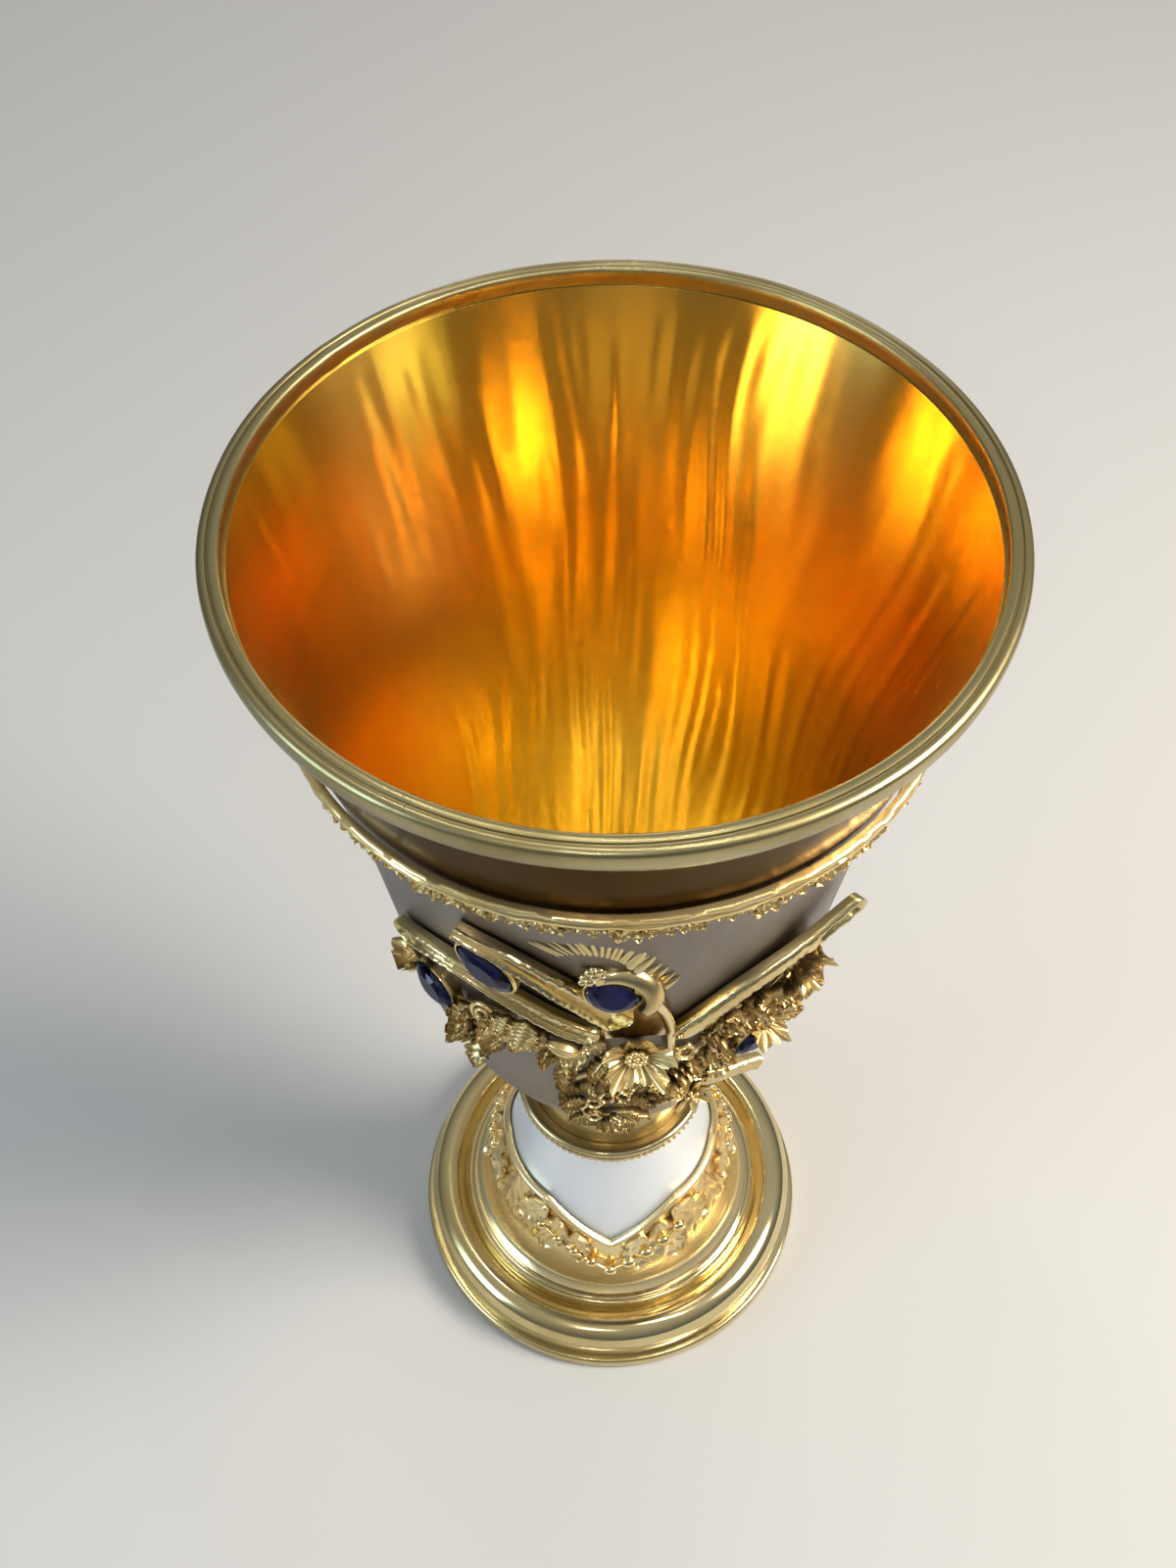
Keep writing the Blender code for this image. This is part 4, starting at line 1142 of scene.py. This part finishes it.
for side, turned in SIDES.items():
    fan_parts = []
    for start, end, count, length, width, height, slant in BARBS:
        shape = helper("barb", barb(length, width, height))
        line = wall_line(FAN_ROOTS, turned, 24, 0.0003, start, end)
        fan_parts.append(repeated(line, False, shape, polished_gilt, count, (0.80, 1.08), (slant, 6.0), 21))
        bpy.data.objects.remove(shape)
    make_piece(f"feather_barbs_{side}", gather(fan_parts), [polished_gilt], 60.0,
               "cast_gilt", f"feather_fan_{side}")


# Flowers and leaves
# Cast gilt flowers, lobed leaves, buds, rings and tendrils, soldered in a dense wreath along
# the straps. Petals and leaves are ribbed, cupped and undercut, with painted shade in their hollows.
LEAF_KINDS = {  # width for a length of 1, lobes, thickness, cup, curl, steps along and across
    "leaf": (0.42, 4, 0.0006, 0.22, 0.08, 18, 8), "curled": (0.36, 5, 0.0006, 0.40, 0.35, 20, 8),
    "fluted": (0.50, 7, 0.0008, 0.08, 0.05, 30, 12), "round": (0.56, 2, 0.0007, 0.42, 0.12, 18, 10),
}
FLOWER_KINDS = {  # petals, narrowness, ribs, cup, notch, ruffle, depth, balls
    "bloom": (5, 0.45, 4.0, 0.55, 0.34, 1.0, 0.0018, 8), "star": (7, 1.8, 1.0, 0.30, 0.72, 0.0, 0.0016, 4),
    "cup": (5, 0.6, 3.0, 0.85, 0.30, 1.0, 0.0012, 5),
}
WREATH = {  # CAD node: its members, as kind, azimuth, share of height, size in mm, tilt, lean, lift in mm
    "rosette_main": (("bloom", 5.4, 0.476, 3.9, 12, 26, 1.9), ("leaf", -1.2, 0.5, 3, 120, 12, 1.2),
        ("curled", -1.5, 0.45, 3, 150, 24, 1.4), ("leaf", 3, 0.4, 3, 190, 26, 1.4),
        ("curled", 9.5, 0.395, 3, 215, 26, 1.3)),
    "rosette_low": (("star", 19.9, 0.32, 2.5, 12, 30, 2.4), ("ring", 16.8, 0.455, 1.3, 0, 22, 1.5),
        ("ring", 22.2, 0.404, 1.2, 30, 25, 1.5), ("fluted", 14.4, 0.375, 3.4, 200, 34, 1.3),
        ("leaf", 21.4, 0.455, 2.8, 330, 20, 1.3), ("leaf", 24.5, 0.35, 2.8, 250, 25, 1.2),
        ("curled", 17.5, 0.4, 2.6, 170, 24, 1.4), ("ball", 19.5, 0.376, 0.6, 0, 0, 2.2),
        ("scroll", 13.4, 0.3, 1.2, 60, 20, 1)),
    "rosette_right": (("cup", 44.8, 0.54, 2.4, -20, 6, 1.7), ("round", 46, 0.505, 3, -150, 30, 1.8),
        ("leaf", 43.6, 0.53, 3, 30, 12, 1.4), ("curled", 47.8, 0.545, 2.6, -30, 16, 1.2)),
    "leaf_a": (("scroll", -29.4, 0.5, 1.5, 40, 20, 1.2), ("curled", -26, 0.508, 3.8, 170, 30, 1),
        ("fluted", -22.6, 0.515, 3.8, 165, 30, 1), ("leaf", -33, 0.492, 3.4, 160, 30, 1),
        ("curled", -35.8, 0.476, 3.6, 190, 34, 0.9), ("curled", -24.6, 0.456, 3, 150, 34, 1.2),
        ("leaf", -29.5, 0.455, 3.2, 195, 36, 1)),
    "leaf_b": (("bud", -10.2, 0.49, 3.7, 70, 10, 1.5), ("fluted", -18.2, 0.522, 4.2, 170, 32, 1.1),
        ("fluted", -14.8, 0.5, 3.2, 150, 28, 0.9), ("leaf", -5.4, 0.464, 3.2, 110, 30, 1.4),
        ("curled", -12.2, 0.412, 3, 200, 34, 1), ("curled", -8.6, 0.408, 3, 150, 34, 1),
        ("scroll", -3.2, 0.35, 1.2, 0, 24, 1.4)),
    "leaf_c": (("leaf", 24.6, 0.488, 3, -42, 10, 1.2), ("curled", 27.8, 0.5, 2.8, 16, 14, 1.4),
        ("leaf", 26.4, 0.462, 2.8, -70, 16, 1.4), ("leaf", 29.6, 0.47, 2.6, 40, 20, 1.2),
        ("ball", 26, 0.48, 0.6, 0, 0, 1.8), ("curled", 27.2, 0.408, 2.6, 200, 24, 1)),
    "leaf_d": (("fluted", 38.4, 0.478, 4.4, 20, 4, 1.3), ("bloom", 37.9, 0.436, 2.6, 0, 30, 1.8),
        ("round", 41.4, 0.5, 4.2, -20, -4, 2), ("round", 34.6, 0.48, 3, 30, 20, 1),
        ("round", 43.6, 0.48, 3, -50, 20, 1.6)),
    "leaf_e": (("round", 43, 0.432, 2.8, -130, 40, 1.4), ("curled", 40.2, 0.412, 2.6, -160, 44, 1.2),
        ("round", 45, 0.47, 2.8, -130, 40, 1.4)),
    "leaf_f": (("leaf", -33.8, 0.4, 4, 195, 40, 1), ("curled", -36.6, 0.43, 3.6, 170, 36, 0.8),
        ("round", -50.4, 0.548, 4.2, 196, 30, 0.5), ("curled", -47.5, 0.545, 3, 170, 30, 0.6),
        ("ball", -53, 0.468, 0.8, 0, 0, 1.8)),
}
FILLING = {  # CAD node: small leaves set along a line of spots, as (spots, how many)
    "leaf_a": (((-37, 0.47), (-31, 0.49), (-22, 0.5)), 11),
    "leaf_b": (((-20, 0.48), (-12, 0.455), (-4, 0.44)), 12),
    "leaf_c": (((22, 0.47), (26, 0.49), (31, 0.5)), 7),
    "leaf_d": (((32, 0.46), (38, 0.49), (44, 0.51)), 9),
    "leaf_e": (((37, 0.43), (42, 0.425), (47, 0.44)), 6),
    "leaf_f": (((-38, 0.425), (-34, 0.4), (-30, 0.405)), 6),
    "rosette_main": (((-3, 0.43), (3, 0.415), (10, 0.41)), 8),
    "rosette_low": (((12, 0.35), (17, 0.41), (24, 0.42)), 11),
    "rosette_right": (((43, 0.53), (46.5, 0.54), (51, 0.545)), 6),
}


def flower(radius, petals, narrow, ribs, cup, notch, ruffle, depth, balls):
    """A flower facing up: ribbed petals, a closed back that narrows to a stalk, and a balled heart."""
    rings, sides = 10, petals * 18
    points, hollow = [], []
    angles = [tau * k / sides for k in range(sides)]
    petal_at = [abs(cos(petals * angle / 2.0)) ** narrow for angle in angles]
    for i in range(rings + 1):
        share = i / rings
        for angle, petal in zip(angles, petal_at):
            rib = 0.5 + 0.5 * cos(ribs * petals * angle)
            reach = radius * share * (1.0 - (1.0 - petal) * min(share * 1.3, 1.0) * notch)
            reach *= 1.0 + 0.05 * ruffle * cos(ribs * petals * angle) * share * share
            uneven = noise.noise(Vector((1.7 * cos(angle), 1.7 * sin(angle), 900.0 * radius)))
            reach *= 1.0 + 0.22 * ruffle * uneven * share
            wave = sin(2.0 * petals * angle + 1.1) + 0.6 * sin(3.0 * petals * angle + 0.4)
            lift = cup * radius * share ** 1.6 * (0.55 + 0.45 * petal)
            lift += ruffle * radius * (0.13 * wave * share ** 3 + 0.30 * uneven * share ** 2)
            ridge = (0.10 + 0.07 * ruffle) * rib * (1.15 - (1.0 - 0.4 * ruffle) * share)
            top = lift + radius * share * (ridge + 0.06 * petal)
            points.append(circle_point(angle, reach, top))
            # painted shade near the heart and in the grooves between the ribs
            hollow.append(min(max(0.9 - 1.1 * share + 0.60 * (1.0 - rib) * (1.0 - 0.5 * share), 0.0), 1.0))
    for share, down in ((0.96, 0.18), (0.6, 0.55), (0.28, 1.0)):
        for angle, petal in zip(angles, petal_at):
            reach = radius * share * (1.0 - (1.0 - petal) * notch)
            top = cup * radius * (0.55 + 0.45 * petal) * share ** 1.6
            points.append(circle_point(angle, reach, top - down * depth))
            # the closed back gets strong painted shade
            hollow.append(0.9)
    parts = [(points, skin(sides, rings + 4, caps=(-1,)), hollow)]
    size = 0.12 * radius
    for i in range(balls + 1):
        spread = 0.0 if i == balls else 1.9 * size
        centre = circle_point(tau * i / balls, spread, 0.11 * radius + 0.9 * size)
        parts.append(moved(ball((size, size, size), 6, 8), *centre))
    return gather(parts)


def bud(length, width):
    """A ribbed bud lying along Y."""
    rings, sides = 13, 28
    points, hollow = [], []
    for i in range(rings):
        v = i / (rings - 1)
        reach = width * sin(pi * (0.04 + 0.92 * v)) ** 0.75
        for k in range(sides):
            angle = tau * k / sides
            rib = 0.5 + 0.5 * cos(7 * angle)
            size = reach * (0.86 + 0.14 * rib)
            points.append((size * cos(angle), length * (v - 0.5), size * sin(angle) + 0.6 * width))
            # painted shade in the grooves between the ribs
            hollow.append(0.5 * (1.0 - rib))
    return points, skin(sides, rings), hollow


def scroll(radius, wire):
    """A tendril that curls in on itself and ends in a ball."""
    steps, turns = 34, 1.6
    shares = [i / steps for i in range(steps + 1)]
    path = [circle_point(tau * turns * share, radius * (1.0 - 0.72 * share), wire * (0.8 + 1.1 * share))
            for share in shares]
    knob = moved(ball((1.3 * wire, 1.3 * wire, 1.3 * wire), 6, 8), *path[-1])
    return gather([tube(path, [wire * (1.0 - 0.35 * share) for share in shares]), knob])


def pierced_ring(radius, wire):
    """A ring with a lobed edge, pierced in the middle."""
    points, hollow = [], []
    sides = 40
    # levels: share of the reach, height, painted shade
    levels = ((0.45, 0.1, 0.9), (0.5, 0.7, 0.3), (0.72, 1.0, 0.0), (0.95, 0.75, 0.1), (1.0, 0.2, 0.5),
              (0.7, 0.0, 1.0))
    for i in range(sides):
        angle = tau * i / sides
        lobe = 1.0 + 0.10 * cos(5.0 * angle)
        for share, up, dark in levels:
            reach = radius * share * (lobe if share > 0.6 else 1.0)
            points.append(circle_point(angle, reach, 1.6 * wire * up))
            hollow.append(dark)
    return points, skin(len(levels), sides, closed=True), hollow


def ornament(kind, size):
    """One member of the wreath by name; size is its reach in millimetres."""
    reach = size / 1000.0
    if kind in LEAF_KINDS:
        width, *shape = LEAF_KINDS[kind]
        return leaf(reach, width * reach, *shape)
    if kind in FLOWER_KINDS:
        return flower(reach, *FLOWER_KINDS[kind])
    if kind == "bud":
        return bud(reach, 0.3 * reach)
    if kind == "scroll":
        return scroll(reach, 0.00034)
    if kind == "ring":
        return pierced_ring(reach, 0.0005)
    return ball((reach, reach, 0.85 * reach), 8, 12)


tuft = leaf(0.0024, 0.0010, 3, 0.00055, 0.30, 0.30, 12, 6)
lean = Matrix.Rotation(radians(38.0), 3, "X")
tuft = ([lean @ Vector(point) for point in tuft[0]], *tuft[1:])
filler = helper("small_leaf", moved(tuft, 0.0, 0.0, 0.0003))
for side, turned in SIDES.items():
    for number, (node, members) in enumerate(WREATH.items()):
        parts = [placed(ornament(kind, size), (azimuth, share), turned, tilt, lean, lift / 1000.0)
                 for kind, azimuth, share, size, tilt, lean, lift in members]
        stops, count = FILLING[node]
        line = wall_line(stops, turned, 20, 0.0004)
        parts.append(tube(line, 0.00034, 6))
        small = repeated(line, False, filler, cast_gilt, count, (0.80, 1.25), (150.0, 100.0), 40 + number)
        parts.append(small)
        name = node.replace("rosette", "flowers").replace("leaf", "wreath")
        make_piece(f"{name}_{side}", gather(parts), [cast_gilt], 70.0, "cast_gilt", f"{node}_{side}")
bpy.data.objects.remove(filler)


# Foliage boss
# The oval boss of foliage under the big flower: small curled leaves packed over a domed wire
# frame with dark gaps between them, and a smooth rolled edge at its lower right.
BOSS = (-0.6, 0.305)
BOSS_LEAVES = 46
GOLDEN_ANGLE = 2.39996


def boss_point(turned, share, angle):
    """A point of the boss's dome: share is 0 at its crown and 1 at its edge."""
    return bowl_point((BOSS[0] + turned, BOSS[1]), share * 0.0050 * cos(angle),
                      share * 0.0082 * sin(angle), 0.0006 + 0.0022 * (1.0 - share ** 2))


for side, turned in SIDES.items():
    frame_parts = []
    for share, wire in ((1.0, 0.00036), (0.55, 0.00030)):
        loop = [boss_point(turned, share, tau * i / 48) for i in range(48)]
        frame_parts.append(tube(loop, wire, 8, ring=True))
    rolled = [boss_point(turned, 1.04, radians(-112.0 + 118.0 * i / 24)) for i in range(25)]
    frame_parts.append(tube(rolled, [0.00034 + 0.00072 * sin(pi * i / 24) for i in range(25)], 12))
    scatter = random.Random(7)
    for i in range(BOSS_LEAVES):
        angle = i * GOLDEN_ANGLE
        share = 0.06 + 0.88 * sqrt(i / (BOSS_LEAVES - 1))
        x, y, _ = circle_point(angle, share, 0.0)
        kind = ("leaf", "curled", "curled", "fluted", "ring")[i % 5]
        size = scatter.uniform(1.7, 2.5) * (0.42 if kind == "ring" else 1.0)
        tilt = degrees(angle) - 90.0 + scatter.uniform(-60, 60)
        height = BOSS[1] * BOWL_HEIGHT + 0.0076 * y
        spot = (BOSS[0] + degrees(0.0047 * x / wall_radius(height)), height / BOWL_HEIGHT)
        frame_parts.append(placed(ornament(kind, size), spot, turned, tilt, scatter.uniform(10.0, 40.0),
                                  0.0010 + 0.0020 * (1.0 - share ** 2)))
    points, faces, hollow = gather(frame_parts)
    # painted shade: the whole boss is darkened a little beyond its own hollows
    hollow = [min(1.0, dark + 0.12) for dark in hollow]
    make_piece(f"foliage_boss_{side}", (points, faces, hollow), [cast_gilt], 70.0,
               "cast_gilt", f"basket_{side}")
